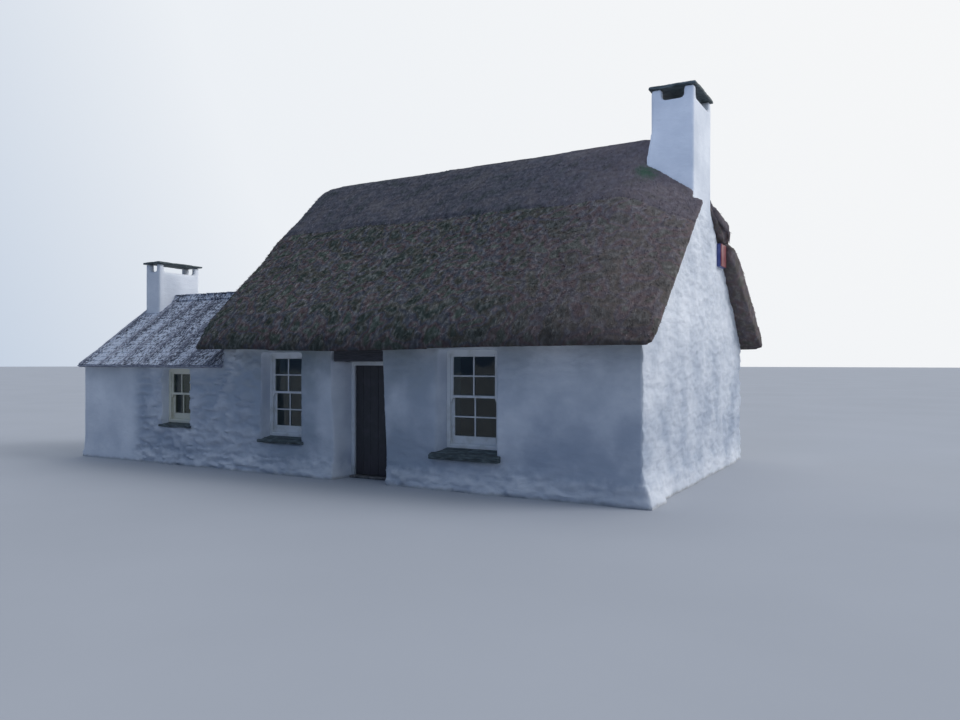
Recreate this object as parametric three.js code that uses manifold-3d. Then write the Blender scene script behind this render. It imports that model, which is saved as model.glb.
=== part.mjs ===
// A long, low thatched cottage with a slate-roofed annex against its left gable.
// Millimetres, +Z up. The house is drawn with X = 0 on the outer face of the right gable,
// Y = 0 on the outer face of the front wall and Z = 0 on the ground, and the whole group is
// then moved so that the origin lies on the ground under the middle of the main room.

import * as THREE from "three";
import { mergeVertices } from "three/addons/utils/BufferGeometryUtils.js";
import Module from "manifold-3d";

const wasm = await Module();
wasm.setup();

// Driving dimensions of the main house
const MAIN_LENGTH = 7350;
const MAIN_DEPTH = 5950;
const WALL = 600;
const WALL_HEAD = 2215;
const ROOF_PITCH = 0.872;
const RIDGE_Y = MAIN_DEPTH / 2;
const FLOOR_TOP = 40;
const FOOT_HEIGHT = 420;
const FOOT_SPLAY = 70;
const CORNER_SPLAY = 150;

// Driving dimensions of the thatch
const COAT_RIDGE = 5430;
const COAT_PITCH = 0.95;
const CAP_RIDGE = 5530;
const CAP_REACH = 1280;
const CAP_DEPTH = 60;
const CAP_LIP = 60;
const CAP_SUNK = 60;
const CAP_ROUND = 110;
const CAP_STEPS = [330, 660, 960];
const EAVE_FRONT = { reach: 300, soffit: 2008 };
const EAVE_REAR = { reach: 400, soffit: 2050 };
const EAVE_NOSE = 80;
const EAVE_ROLL = 90;
const EAVE_THICK = 235;
const EAVE_RISE = 15;
const EAVE_LIP = 20;
const VERGE_LEFT = 400;
const VERGE_RIGHT = 200;
const THATCH_CUT_ABOVE_GABLE = 4100;
const THATCH_CUT_FRONT = 130;
const THATCH_CUT_REAR = 60;

// An old roof sinks: the ridge towards the left end, the front eave over the doorway, and
// the coat in slow swells, whose crests and hollows lie one span apart
const RIDGE_SAG = 125;
const RIDGE_SAG_LENGTH = 3400;
const EAVE_SAG = 55;
const EAVE_SAG_X = -4575;
const EAVE_SAG_WIDTH = 1600;
const SWELL = 24;
const SWELL_SPAN_X = 950;
const SWELL_SPAN_Y = 720;
const SWELL_DRIFT = 1900;
const SWELL_FADE = 600;
const COAT_STEP = 320;

// Driving dimensions of the doorway and its leaf
const DOORWAY_LEFT = -4960;
const DOORWAY_RIGHT = -3960;
const REVEAL_LEFT = -4870;
const REVEAL_RIGHT = -4030;
const REVEAL_DEPTH = 350;
const LINTEL_BOTTOM = 1830;
const LINTEL_TOP = 2010;
const DOOR_FRAME = 45;
const DOOR_FRAME_DEPTH = 100;
const DOOR_STOP = 15;
const DOOR_THICK = 40;
const RUNNING_GAP = 5;

// Driving dimensions of the annex
const ANNEX_LENGTH = 3770;
const ANNEX_DEPTH = 3680;
const ANNEX_WALL = 500;
const ANNEX_EAVE_TOP = 1780;
const ANNEX_PITCH = 0.737;
const ANNEX_OVERHANG = 100;
const ANNEX_ROOF = 90;
const ANNEX_RIDGE_Y = ANNEX_DEPTH / 2;
const INNER_DOOR_FRONT = 1350;
const INNER_DOOR_REAR = 2150;
const INNER_DOOR_TOP = 1850;

// Two faces that meet on a slope, or round a cut, stay this far apart
const SEAT = 0.3;
const FAR = 9000;

const COLOURS = {
  limewash: 0xe8ebf0, thatch: 0x4b3f3a, capping: 0x4a4342, slate: 0x84808c,
  darkSlate: 0x2a2b33, darkTimber: 0x1d1a20, door: 0x171622, paint: 0xd9dcd8, cream: 0xd8d3b4,
  glass: 0x1b2229, stone: 0x6d6a68, timber: 0x6b5138, blue: 0x3d4f9a, cloth: 0xb9b08a,
};

// Turns a closed geometry into a solid that can be joined and cut
function toSolid(geometry) {
  geometry.deleteAttribute("normal");
  geometry.deleteAttribute("uv");
  const merged = mergeVertices(geometry, 1e-3);
  const vertProperties = new Float32Array(merged.attributes.position.array);
  const triVerts = new Uint32Array(merged.index.array);
  return new wasm.Manifold(new wasm.Mesh({ numProp: 3, vertProperties, triVerts }));
}

function toGeometry(solid) {
  const mesh = solid.getMesh();
  const geometry = new THREE.BufferGeometry();
  geometry.setAttribute("position", new THREE.BufferAttribute(mesh.vertProperties, 3));
  geometry.setIndex(new THREE.BufferAttribute(mesh.triVerts, 1));
  return geometry;
}

function finish(colour, roughness = 0.85, metalness = 0) {
  return new THREE.MeshStandardMaterial({ color: colour, roughness, metalness });
}

// Adds one named piece to a group
function addPiece(group, name, solid, material) {
  const mesh = new THREE.Mesh(toGeometry(solid), material);
  mesh.name = name;
  group.add(mesh);
  return mesh;
}

function outline(points) {
  return new THREE.Shape(points.map(([u, v]) => new THREE.Vector2(u, v)));
}

function extrude(shape, depth) {
  return new THREE.ExtrudeGeometry(shape, { depth, bevelEnabled: false, steps: 1 });
}

// A prism along X from an outline of [y, z] points
function prismX(points, x0, x1) {
  const basis = new THREE.Matrix4().makeBasis(
    new THREE.Vector3(0, 1, 0), new THREE.Vector3(0, 0, 1), new THREE.Vector3(1, 0, 0));
  return toSolid(extrude(outline(points), x1 - x0).applyMatrix4(basis).translate(x0, 0, 0));
}

// A prism along Z from an outline of [x, y] points
function prismZ(points, z0, z1) {
  return toSolid(extrude(outline(points), z1 - z0).translate(0, 0, z0));
}

// A frame seen from the front: an outer rectangle with rectangular holes, from y0 to y1
function frontFrame([x0, x1, z0, z1], holes, y0, y1) {
  const cut = (solid, hole) => solid.subtract(block(hole[0], hole[1], y0 - 1, y1 + 1, hole[2], hole[3]));
  return holes.reduce(cut, block(x0, x1, y0, y1, z0, z1));
}

function block(x0, x1, y0, y1, z0, z1) {
  const box = new THREE.BoxGeometry(x1 - x0, y1 - y0, z1 - z0);
  return toSolid(box.translate((x0 + x1) / 2, (y0 + y1) / 2, (z0 + z1) / 2));
}

// Joins rings of points into a closed skin; flatAxes are the two axes that each ring spans,
// and the rings follow one another along the third axis
function loft(rings, flatAxes) {
  const flat = (ring) => ring.map((p) => new THREE.Vector2(p[flatAxes[0]], p[flatAxes[1]]));
  if (THREE.ShapeUtils.area(flat(rings[0])) < 0) {
    return loft(rings.map((ring) => [...ring].reverse()), flatAxes);
  }
  const count = rings[0].length;
  const index = [];
  for (let r = 0; r + 1 < rings.length; r += 1) {
    for (let j = 0; j < count; j += 1) {
      const a = r * count + j;
      const b = r * count + ((j + 1) % count);
      index.push(a, b, b + count, a, b + count, a + count);
    }
  }
  const last = (rings.length - 1) * count;
  THREE.ShapeUtils.triangulateShape(flat(rings[0]), []).forEach(([a, b, c]) => index.push(a, c, b));
  THREE.ShapeUtils.triangulateShape(flat(rings.at(-1)), [])
    .forEach(([a, b, c]) => index.push(last + a, last + b, last + c));
  const geometry = new THREE.BufferGeometry();
  geometry.setAttribute("position", new THREE.Float32BufferAttribute(rings.flat(2), 3));
  geometry.setIndex(index);
  return toSolid(geometry);
}

// A wall block whose foot splays outwards below footTop, by the given reach on each side
function footedBlock(x0, x1, y0, y1, top, splay, footTop = FOOT_HEIGHT) {
  const ring = (z, k) => {
    const left = x0 - k * (splay.left ?? 0);
    const right = x1 + k * (splay.right ?? 0);
    const front = y0 - k * (splay.front ?? 0);
    const rear = y1 + k * (splay.rear ?? 0);
    return [[left, front, z], [right, front, z], [right, rear, z], [left, rear, z]];
  };
  return loft([ring(0, 1), ring(footTop, 0), ring(top, 0)], [0, 1]);
}

// Everything under the main roof's underside, lowered by a gap
function underMainRoof(x0, x1, gap = 0) {
  const apex = WALL_HEAD + ROOF_PITCH * RIDGE_Y - gap;
  const low = apex - ROOF_PITCH * FAR;
  return prismX([[RIDGE_Y - FAR, low], [RIDGE_Y + FAR, low], [RIDGE_Y, apex]], x0, x1);
}

function annexTopAt(y) {
  const rise = Math.min(y, ANNEX_DEPTH - y) + ANNEX_OVERHANG;
  return ANNEX_EAVE_TOP + ANNEX_PITCH * rise;
}

// Everything under the annex roof's underside, lowered by a gap
function underAnnexRoof(x0, x1, gap) {
  const apex = annexTopAt(ANNEX_RIDGE_Y) - ANNEX_ROOF - gap;
  const low = apex - ANNEX_PITCH * FAR;
  return prismX([[ANNEX_RIDGE_Y - FAR, low], [ANNEX_RIDGE_Y + FAR, low], [ANNEX_RIDGE_Y, apex]], x0, x1);
}

// Windows: x is the middle of the frame, and the outer arrises stand wider than the frame
const DEEP_SILL = { thick: 70, fall: 80, reach: 95, horn: 70 };
const SLIM_SILL = { thick: 48, fall: 48, reach: 45, horn: 55 };
const FLAT_SILL = { thick: 46, fall: 24, reach: 40, horn: 45 };
const WINDOWS = {
  right: { x: -2540, frame: 880, left: 80, right: 30, bottom: 590, top: 2000, rows: 2, back: 170,
    sill: DEEP_SILL },
  left: { x: -6083, frame: 780, left: 10, right: 95, bottom: 600, top: 1975, rows: 2, back: 200,
    sill: SLIM_SILL },
  annex: { x: -8590, frame: 630, left: 10, right: 95, bottom: 730, top: 1700, rows: 1, back: 150,
    sill: FLAT_SILL },
};
const FRAME_DEPTH = 120;
const FRAME_SIDE = 50;
const FRAME_CILL = 60;
const SASH_STILE = 48;
const SASH_RAIL = 36;
const SASH_BOTTOM = 110;
const SASH_BAR = 22;
const SASH_SET = 15;
const SASH_FRONT = 20;
const SASH_THICK = 35;
const SASH_GAP = 6;
const GLASS_THICK = 4;

// The plan of a window opening, from outside the wall to beyond its inner face
function windowPlan(win, gap = 0) {
  const half = win.frame / 2 - gap;
  return [
    [win.x - half - win.left, 0], [win.x + half + win.right, 0], [win.x + half, win.back],
    [win.x + half, FAR / 9], [win.x - half, FAR / 9], [win.x - half, win.back],
  ];
}

function sillBottom(win) {
  return win.bottom - win.sill.thick - win.sill.fall;
}

function windowHole(win) {
  const plan = windowPlan(win);
  const outside = block(plan[0][0], plan[1][0], -FAR / 9, 0, sillBottom(win), win.top);
  return prismZ(plan, sillBottom(win), win.top).add(outside);
}

// The slate sill falls to the front and its ends stand past the opening outside the wall
function windowSill(win) {
  const low = sillBottom(win);
  const { thick, reach, horn } = win.sill;
  const profile = [
    [-reach, low], [win.back + FRAME_DEPTH, low], [win.back + FRAME_DEPTH, win.bottom],
    [win.back, win.bottom], [-reach, low + thick],
  ];
  const plan = windowPlan(win, SEAT);
  const wide = prismX(profile, win.x - FAR, win.x + FAR);
  const nose = block(plan[0][0] - horn, plan[1][0] + horn, -reach, -SEAT, low, win.bottom);
  return wide.intersect(prismZ(plan, low, win.bottom).add(nose.add(neck(plan, low, win))));
}

// Carries the sill across the small gap at the wall's outer face
function neck(plan, low, win) {
  return block(plan[0][0], plan[1][0], -2 * SEAT, SEAT, low, win.bottom);
}

// One sash: rails, stiles and bars in front, and a rebate behind that takes the glass
function sash(x0, x1, z0, z1, bottomRail, topRail, rows, y) {
  const inner = [x0 + SASH_STILE, x1 - SASH_STILE, z0 + bottomRail, z1 - topRail];
  const paneWidth = (inner[1] - inner[0] - SASH_BAR) / 2;
  const paneHeight = (inner[3] - inner[2] - SASH_BAR * (rows - 1)) / rows;
  const panes = [];
  for (let row = 0; row < rows; row += 1) {
    for (let column = 0; column < 2; column += 1) {
      const left = inner[0] + column * (paneWidth + SASH_BAR);
      const low = inner[2] + row * (paneHeight + SASH_BAR);
      panes.push([left, left + paneWidth, low, low + paneHeight]);
    }
  }
  const front = frontFrame([x0, x1, z0, z1], panes, y, y + SASH_FRONT);
  const rear = frontFrame([x0, x1, z0, z1], [inner], y + SASH_FRONT, y + SASH_THICK);
  const glassFront = y + SASH_FRONT + SEAT;
  const glass = block(inner[0] + SEAT, inner[1] - SEAT, glassFront, glassFront + GLASS_THICK,
    inner[2] + SEAT, inner[3] - SEAT);
  return { wood: front.add(rear), glass };
}

// A vertical sliding sash window, with the upper sash outside the lower one
function addSashWindow(group, name, win, colour) {
  const x0 = win.x - win.frame / 2 + SEAT;
  const x1 = win.x + win.frame / 2 - SEAT;
  const hole = [x0 + FRAME_SIDE, x1 - FRAME_SIDE, win.bottom + FRAME_CILL, win.top - FRAME_SIDE];
  const middle = (hole[2] + SASH_BOTTOM + hole[3] - SASH_STILE) / 2;
  const meeting = [middle - SASH_RAIL / 2, middle + SASH_RAIL / 2];
  const paint = finish(colour, 0.5);
  const pane = finish(COLOURS.glass, 0.1);
  const frame = frontFrame([x0, x1, win.bottom, win.top], [hole], win.back, win.back + FRAME_DEPTH);
  const upperY = win.back + SASH_SET;
  const upper = sash(hole[0] + SEAT, hole[1] - SEAT, meeting[0], hole[3] - SEAT,
    SASH_RAIL, SASH_STILE, win.rows, upperY);
  const lower = sash(hole[0] + SEAT, hole[1] - SEAT, hole[2] + SEAT, meeting[1],
    SASH_BOTTOM, SASH_RAIL, win.rows, upperY + SASH_THICK + SASH_GAP);
  addPiece(group, `${name}_window_frame`, frame, paint);
  addPiece(group, `${name}_window_upper_sash`, upper.wood, paint);
  addPiece(group, `${name}_window_lower_sash`, lower.wood, paint);
  addPiece(group, `${name}_window_upper_glass`, upper.glass, pane);
  addPiece(group, `${name}_window_lower_glass`, lower.glass, pane);
  addPiece(group, `${name}_window_sill`, windowSill(win), finish(COLOURS.darkSlate, 0.6));
}

// The small fixed light in the rear wall, drawn as if in a front wall and turned round
const REAR_LIGHT = { x: 3675, frame: 640, left: 50, right: 50, bottom: 950, top: 1650, back: 170,
  sill: DEEP_SILL };

function addRearLight(group) {
  const turned = new THREE.Group();
  turned.position.set(0, MAIN_DEPTH, 0);
  turned.rotation.z = Math.PI;
  group.add(turned);
  const x0 = REAR_LIGHT.x - REAR_LIGHT.frame / 2 + SEAT;
  const x1 = REAR_LIGHT.x + REAR_LIGHT.frame / 2 - SEAT;
  const wood = sash(x0, x1, REAR_LIGHT.bottom + SEAT, REAR_LIGHT.top - SEAT, FRAME_SIDE + SASH_STILE,
    FRAME_SIDE + SASH_STILE, 2, REAR_LIGHT.back);
  addPiece(turned, "rear_window_frame", wood.wood, finish(COLOURS.paint, 0.5));
  addPiece(turned, "rear_window_glass", wood.glass, finish(COLOURS.glass, 0.1));
  addPiece(turned, "rear_window_sill", windowSill(REAR_LIGHT), finish(COLOURS.darkSlate, 0.6));
}

function rearLightHole() {
  return windowHole(REAR_LIGHT).rotate([0, 0, 180]).translate([0, MAIN_DEPTH, 0]);
}

// Purlins run from gable to gable half way up each slope and end in pockets
const PURLIN_REACH = 1450;
const PURLIN_WIDE = 120;
const PURLIN_DEEP = 170;
const PURLIN_BEARING = 200;

function purlin(side, gap) {
  const near = RIDGE_Y + side * PURLIN_REACH;
  const far = near + side * PURLIN_WIDE;
  const outer = Math.max(Math.abs(near - RIDGE_Y), Math.abs(far - RIDGE_Y));
  const top = WALL_HEAD + ROOF_PITCH * (RIDGE_Y - outer) - SEAT;
  return block(-MAIN_LENGTH + WALL - PURLIN_BEARING - gap, -WALL + PURLIN_BEARING + gap,
    Math.min(near, far) - gap, Math.max(near, far) + gap, top - PURLIN_DEEP - gap, top + gap);
}

function pocketed(wall) {
  return wall.subtract(purlin(-1, SEAT)).subtract(purlin(1, SEAT));
}

// The stone stack over the right gable, grown by a gap when it is used to cut the thatch
const STACK = { left: -670, front: 2480, rear: 3570, seat: 4200, shoulder: 5890, top: 6060 };
const STACK_FLARE = 75;
const STACK_FLARE_LOW = 5000;
const STACK_FLARE_TOP = 5400;
const STACK_POST_X = 160;
const STACK_POST_Y = 135;
const STACK_FLUE_FLOOR = 4700;
const STACK_CAP = 55;
const STACK_CAP_REACH = 35;

function stackBody(gap) {
  const ring = (z, flare) => [
    [STACK.left - flare - gap, STACK.front - gap, z], [gap, STACK.front - gap, z],
    [gap, STACK.rear + gap, z], [STACK.left - flare - gap, STACK.rear + gap, z],
  ];
  return loft([ring(STACK.seat - gap, STACK_FLARE), ring(STACK_FLARE_LOW, STACK_FLARE),
    ring(STACK_FLARE_TOP, 0), ring(STACK.top, 0)], [0, 1]);
}

// Hollows a stack: a flue from above and an opening through each pair of sides under the cap
function openStack(body, x0, x1, y0, y1, postX, postY, shoulder, top, flueFloor) {
  const flue = block(x0 + postX, x1 - postX, y0 + postY, y1 - postY, flueFloor, top + 1);
  const along = block(x0 - 1, x1 + 1, y0 + postY, y1 - postY, shoulder, top + 1);
  const across = block(x0 + postX, x1 - postX, y0 - 1, y1 + 1, shoulder, top + 1);
  return body.subtract(flue).subtract(along).subtract(across);
}

function addRightChimney(group) {
  const stack = openStack(stackBody(0), STACK.left, 0, STACK.front, STACK.rear,
    STACK_POST_X, STACK_POST_Y, STACK.shoulder, STACK.top, STACK_FLUE_FLOOR);
  addPiece(group, "right_chimney_stack", stack, finish(COLOURS.limewash));
  const reach = STACK_CAP_REACH;
  const cap = block(STACK.left - reach, reach, STACK.front - reach, STACK.rear + reach,
    STACK.top, STACK.top + STACK_CAP);
  addPiece(group, "right_chimney_cap", cap, finish(COLOURS.darkSlate, 0.6));
}

// The bell box on the right gable; the thatch is cut back round it
const ALARM = { depth: 80, front: 3985, rear: 4345, bottom: 3440, top: 3825, clear: 15 };

// Keys along each slope, from left to right: how thick the coat is, how far the eave reaches,
// how far the underside hangs below the rafters outside the gables, how far the eave's end is
// lifted, how strongly the coat is dressed down beside the stack, and how strongly the verge
// follows its own outline. The front verge is thin all the way down. The rear one keeps a thick
// round roll, nicked over the bell box, that stands out further towards the eave.
const FRONT_KEYS = [
  { x: -MAIN_LENGTH - VERGE_LEFT, thick: 0.72, eave: 0.86, hang: 0, lift: 0, dress: 0, nick: 0 },
  { x: -MAIN_LENGTH - VERGE_LEFT + 90, thick: 0.87, eave: 0.96, hang: 0, lift: 0, dress: 0, nick: 0 },
  { x: -MAIN_LENGTH - 100, thick: 0.95, eave: 1, hang: 0, lift: 0, dress: 0, nick: 0 },
  { x: -MAIN_LENGTH + 500, thick: 1, eave: 1, hang: 0, lift: 0, dress: 0, nick: 0 },
  { x: -900, thick: 1, eave: 1, hang: 0, lift: 0, dress: 0, nick: 0 },
  { x: -620, thick: 0.88, eave: 1, hang: 0, lift: 0, dress: 0.15, nick: 0 },
  { x: -300, thick: 0.62, eave: 1, hang: 0, lift: 0, dress: 0.4, nick: 0 },
  { x: 0, thick: 0.38, eave: 1, hang: 0, lift: 0, dress: 0.9, nick: 0 },
  { x: VERGE_RIGHT - 70, thick: 0.3, eave: 0.95, hang: 30, lift: 12, dress: 0.9, nick: 0 },
  { x: VERGE_RIGHT, thick: 0.14, eave: 0.8, hang: 45, lift: 45, dress: 0.9, nick: 0 },
];
const REAR_THICK = [0.72, 0.87, 0.95, 1, 1, 1, 1, 1, 0.98, 0.9];
const REAR_NICK = [0, 0, 0, 0, 0, 0, 0, 0.3, 1, 1];
const REAR_KEYS = FRONT_KEYS.map((key, i) => ({ ...key, thick: REAR_THICK[i], nick: REAR_NICK[i] }));

// Shares of the full thickness and of the overhang, at distances down from the ridge
const DRESSED = [[0, 0.15], [660, 0.15], [960, 0.4], [1240, 0.75], [1480, 0.95], [1850, 1]];
const NICKED = [[0, 1], [1160, 1], [1240, 0.85], [1340, 0.45], [1480, 0.7], [1850, 1]];
const STANDS_OUT = [[0, 0.15], [660, 0.15], [960, 0.75], [1240, 1.05], [1340, 0.6], [1480, 1],
  [1850, 1.15], [2200, 1.3], [2500, 1.5], [2975, 1.75]];
const COAT_REACHES = [2715, 2450, 2150, 1850, 1480, 1340, 1240, 960, 660, 330, 0];
const COAT_SHOULDER = 25;

// Puts stations between the keys, so that none is further from the next than a coat's step
function stations(keys) {
  const between = (a, b) => {
    const count = Math.ceil((b.x - a.x) / COAT_STEP);
    const mixed = (share) => Object.fromEntries(
      Object.keys(a).map((name) => [name, a[name] + share * (b[name] - a[name])]));
    return Array.from({ length: count }, (_, i) => mixed(i / count));
  };
  return keys.slice(1).flatMap((key, i) => between(keys[i], key)).concat(keys.at(-1));
}

// Reads a table of [reach, value] rows, straight between them
function lookUp(table, reach) {
  const next = table.findIndex(([place]) => place >= reach);
  if (next <= 0) {
    return next < 0 ? table.at(-1)[1] : table[0][1];
  }
  const [a, b] = [table[next - 1], table[next]];
  return a[1] + (b[1] - a[1]) * (reach - a[0]) / (b[0] - a[0]);
}

function underAt(reach) {
  return WALL_HEAD + ROOF_PITCH * (RIDGE_Y - reach) + SEAT;
}

function ridgeSag(x, reach) {
  return RIDGE_SAG * (1 - Math.exp(Math.min(x, 0) / RIDGE_SAG_LENGTH)) * (1 - reach / RIDGE_Y);
}

function eaveSag(x, side) {
  return side < 0 ? EAVE_SAG * Math.exp(-(((x - EAVE_SAG_X) / EAVE_SAG_WIDTH) ** 2)) : 0;
}

function swell(x, reach) {
  const along = Math.sin(Math.PI * (x / SWELL_SPAN_X + Math.sin(reach / SWELL_SPAN_Y) / 2));
  const down = Math.sin(Math.PI * reach / SWELL_SPAN_Y + x / SWELL_DRIFT);
  return SWELL * along * down * Math.min(1, reach / SWELL_FADE);
}

// How deep the coat is at a distance from the ridge, for one station
function coatDepth(station, reach) {
  const even = COAT_RIDGE - COAT_PITCH * reach;
  const top = even - ridgeSag(station.x, reach) + swell(station.x, reach);
  const dressed = 1 - station.dress * (1 - lookUp(DRESSED, reach));
  const nicked = 1 - station.nick * (1 - lookUp(NICKED, reach));
  return station.thick * dressed * nicked * (top - underAt(reach));
}

function coatAt(station, reach) {
  return underAt(reach) - station.hang + coatDepth(station, reach);
}

function verge(station, reach) {
  return station.x * (1 + station.nick * (lookUp(STANDS_OUT, reach) - 1));
}

// One slope's section at a station, as [x, y, z] points; side is -1 in front and 1 behind
function coatRing(station, side, eave) {
  const nose = RIDGE_Y + eave.reach * station.eave;
  const soffit = eave.soffit + station.lift - eaveSag(station.x, side);
  const at = (reach, z) => [verge(station, reach), RIDGE_Y + side * reach, z];
  const under = (reach) => at(reach, underAt(reach) - station.hang);
  const shoulder = RIDGE_Y - EAVE_LIP;
  const top = COAT_REACHES.map((reach) => at(reach, coatAt(station, reach)));
  return [
    ...COAT_REACHES.map(under).reverse(), under(RIDGE_Y),
    at(nose - EAVE_LIP, soffit), at(nose, soffit + EAVE_NOSE),
    at(nose - EAVE_ROLL, soffit + EAVE_THICK * station.thick + EAVE_RISE),
    at(shoulder, coatAt(station, shoulder) - COAT_SHOULDER * station.thick), ...top,
  ];
}

// The raised band along the ridge, sunk into the coats before they are cut from it
function capRing(front, rear) {
  const at = (station, side, reach, rise) => [verge(station, reach), RIDGE_Y + side * reach,
    coatAt(station, reach) + rise * station.thick];
  const sunk = (station, side, reach) => at(station, side, reach,
    -Math.min(CAP_SUNK, coatDepth(station, reach) / 2) / station.thick);
  const lift = (reach) => CAP_DEPTH + (CAP_RIDGE - COAT_RIDGE - CAP_DEPTH) * (1 - reach / CAP_REACH);
  const slope = (station, side) => {
    const tops = [CAP_REACH - 2 * CAP_LIP, ...[...CAP_STEPS].reverse(), CAP_ROUND];
    return [
      ...[...CAP_STEPS, CAP_REACH].map((reach) => sunk(station, side, reach)),
      at(station, side, CAP_REACH + CAP_LIP, 0.4 * CAP_DEPTH),
      ...tops.map((reach) => at(station, side, reach, lift(reach) - (reach === CAP_ROUND ? 10 : 0))),
    ];
  };
  return [sunk(front, -1, 0), ...slope(front, -1), at(rear, 1, 0, lift(0) - 30),
    ...slope(rear, 1).reverse()];
}

// Takes out of the thatch what the stack and the bare gable beside it need
function roundStack(thatch) {
  const bare = block(SEAT, FAR / 9, STACK.front - THATCH_CUT_FRONT, STACK.rear + THATCH_CUT_REAR,
    THATCH_CUT_ABOVE_GABLE, FAR);
  return thatch.subtract(stackBody(SEAT)).subtract(bare);
}

function addThatch(group) {
  const frontStations = stations(FRONT_KEYS);
  const rearStations = stations(REAR_KEYS);
  const front = loft(frontStations.map((station) => coatRing(station, -1, EAVE_FRONT)), [1, 2]);
  const rear = loft(rearStations.map((station) => coatRing(station, 1, EAVE_REAR)), [1, 2]);
  const bands = frontStations.map((station, i) => capRing(station, rearStations[i]));
  const overBox = block(SEAT, FAR / 9, ALARM.front - ALARM.clear, ALARM.rear + ALARM.clear,
    ALARM.bottom, ALARM.top + ALARM.clear);
  const moves = [[0, 0, SEAT], [SEAT, 0, 0], [0, 0, 0]];
  const seated = (solid, coat) => moves.reduce((rest, move) => rest.subtract(coat.translate(move)), solid);
  const ridge = [front, rear].reduce(seated, loft(bands, [1, 2]));
  addPiece(group, "thatch_front", roundStack(front), finish(COLOURS.thatch, 1));
  addPiece(group, "thatch_rear", roundStack(rear).subtract(overBox), finish(COLOURS.thatch, 1));
  addPiece(group, "thatch_ridge", roundStack(ridge).subtract(overBox), finish(COLOURS.capping, 1));
}

// A splayed plaster reveal beside the door, from the wall's end to the frame
function doorReveal(outerX, innerX) {
  const plan = [[outerX, 0], [innerX, REVEAL_DEPTH], [innerX, WALL], [outerX, WALL]];
  return prismZ(plan, 0, LINTEL_BOTTOM);
}

function addMainWalls(group) {
  const lime = finish(COLOURS.limewash);
  const inside = underMainRoof(-MAIN_LENGTH, CORNER_SPLAY);
  const left = footedBlock(-MAIN_LENGTH, DOORWAY_LEFT, 0, WALL, FAR, { front: FOOT_SPLAY })
    .add(doorReveal(DOORWAY_LEFT, REVEAL_LEFT)).subtract(windowHole(WINDOWS.left));
  addPiece(group, "front_wall_left", left.intersect(inside), lime);
  const right = footedBlock(DOORWAY_RIGHT, 0, 0, WALL, FAR, { front: FOOT_SPLAY, right: CORNER_SPLAY })
    .add(doorReveal(DOORWAY_RIGHT, REVEAL_RIGHT)).subtract(windowHole(WINDOWS.right));
  addPiece(group, "front_wall_right", right.intersect(inside), lime);
  const over = block(DOORWAY_LEFT, DOORWAY_RIGHT, 0, WALL, LINTEL_TOP, FAR);
  addPiece(group, "front_wall_over_door", over.intersect(inside), lime);
  const rear = footedBlock(-MAIN_LENGTH, 0, MAIN_DEPTH - WALL, MAIN_DEPTH, FAR, { rear: FOOT_SPLAY })
    .subtract(rearLightHole());
  addPiece(group, "rear_wall", rear.intersect(inside), lime);
  addGables(group, inside, lime);
}

function addGables(group, inside, lime) {
  const seat = block(-FAR, FAR, STACK.front, STACK.rear, STACK.seat, FAR);
  const right = footedBlock(-WALL, 0, WALL, MAIN_DEPTH - WALL, FAR, { right: FOOT_SPLAY });
  addPiece(group, "right_gable_wall", pocketed(right.intersect(inside)).subtract(seat), lime);
  const doorway = block(-MAIN_LENGTH - 1, -MAIN_LENGTH + WALL + 1, INNER_DOOR_FRONT, INNER_DOOR_REAR,
    FLOOR_TOP, INNER_DOOR_TOP);
  const left = block(-MAIN_LENGTH, -MAIN_LENGTH + WALL, WALL, MAIN_DEPTH - WALL, 0, FAR);
  addPiece(group, "left_gable_wall", pocketed(left.intersect(inside)).subtract(doorway), lime);
}

function addMainFloor(group) {
  const floor = block(-MAIN_LENGTH + WALL, -WALL, WALL, MAIN_DEPTH - WALL, 0, FLOOR_TOP);
  addPiece(group, "main_floor", floor, finish(COLOURS.stone));
  const threshold = block(REVEAL_LEFT, REVEAL_RIGHT, REVEAL_DEPTH - 60, WALL, 0, FLOOR_TOP);
  addPiece(group, "door_threshold", threshold, finish(COLOURS.stone));
}

// The door opens inwards on two pintles on the left jamb, behind the leaf
const HINGE = { heights: [280, 1450], reach: 30, pin: 7, eye: 14, tall: 50, arm: 30, strap: 420, thick: 7 };
const LATCH_GAP = 9;
const DOOR_HOLE = [REVEAL_LEFT + DOOR_FRAME, REVEAL_RIGHT - DOOR_FRAME, FLOOR_TOP,
  LINTEL_BOTTOM - DOOR_FRAME];
const STOP_DEPTH = 45;
const STOP_FACE = REVEAL_DEPTH + STOP_DEPTH;
const LEAF_FRONT = STOP_FACE + RUNNING_GAP;
const PIVOT = { x: DOOR_HOLE[0] + RUNNING_GAP, y: LEAF_FRONT + DOOR_THICK + HINGE.reach };

function rod(x, y, radius, z0, z1) {
  const cylinder = new THREE.CylinderGeometry(radius, radius, z1 - z0, 16).rotateX(Math.PI / 2);
  return toSolid(cylinder.translate(x, y, (z0 + z1) / 2));
}

// An arm on the back of the jamb and the pin that stands on it
function pintle(z) {
  const frameRear = REVEAL_DEPTH + DOOR_FRAME_DEPTH;
  const arm = block(PIVOT.x - HINGE.arm, PIVOT.x + HINGE.pin, frameRear - 1, PIVOT.y + HINGE.pin,
    z - HINGE.arm, z - SEAT);
  return arm.add(rod(PIVOT.x, PIVOT.y, HINGE.pin, z - HINGE.arm / 2, z + HINGE.tall + HINGE.pin));
}

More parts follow.
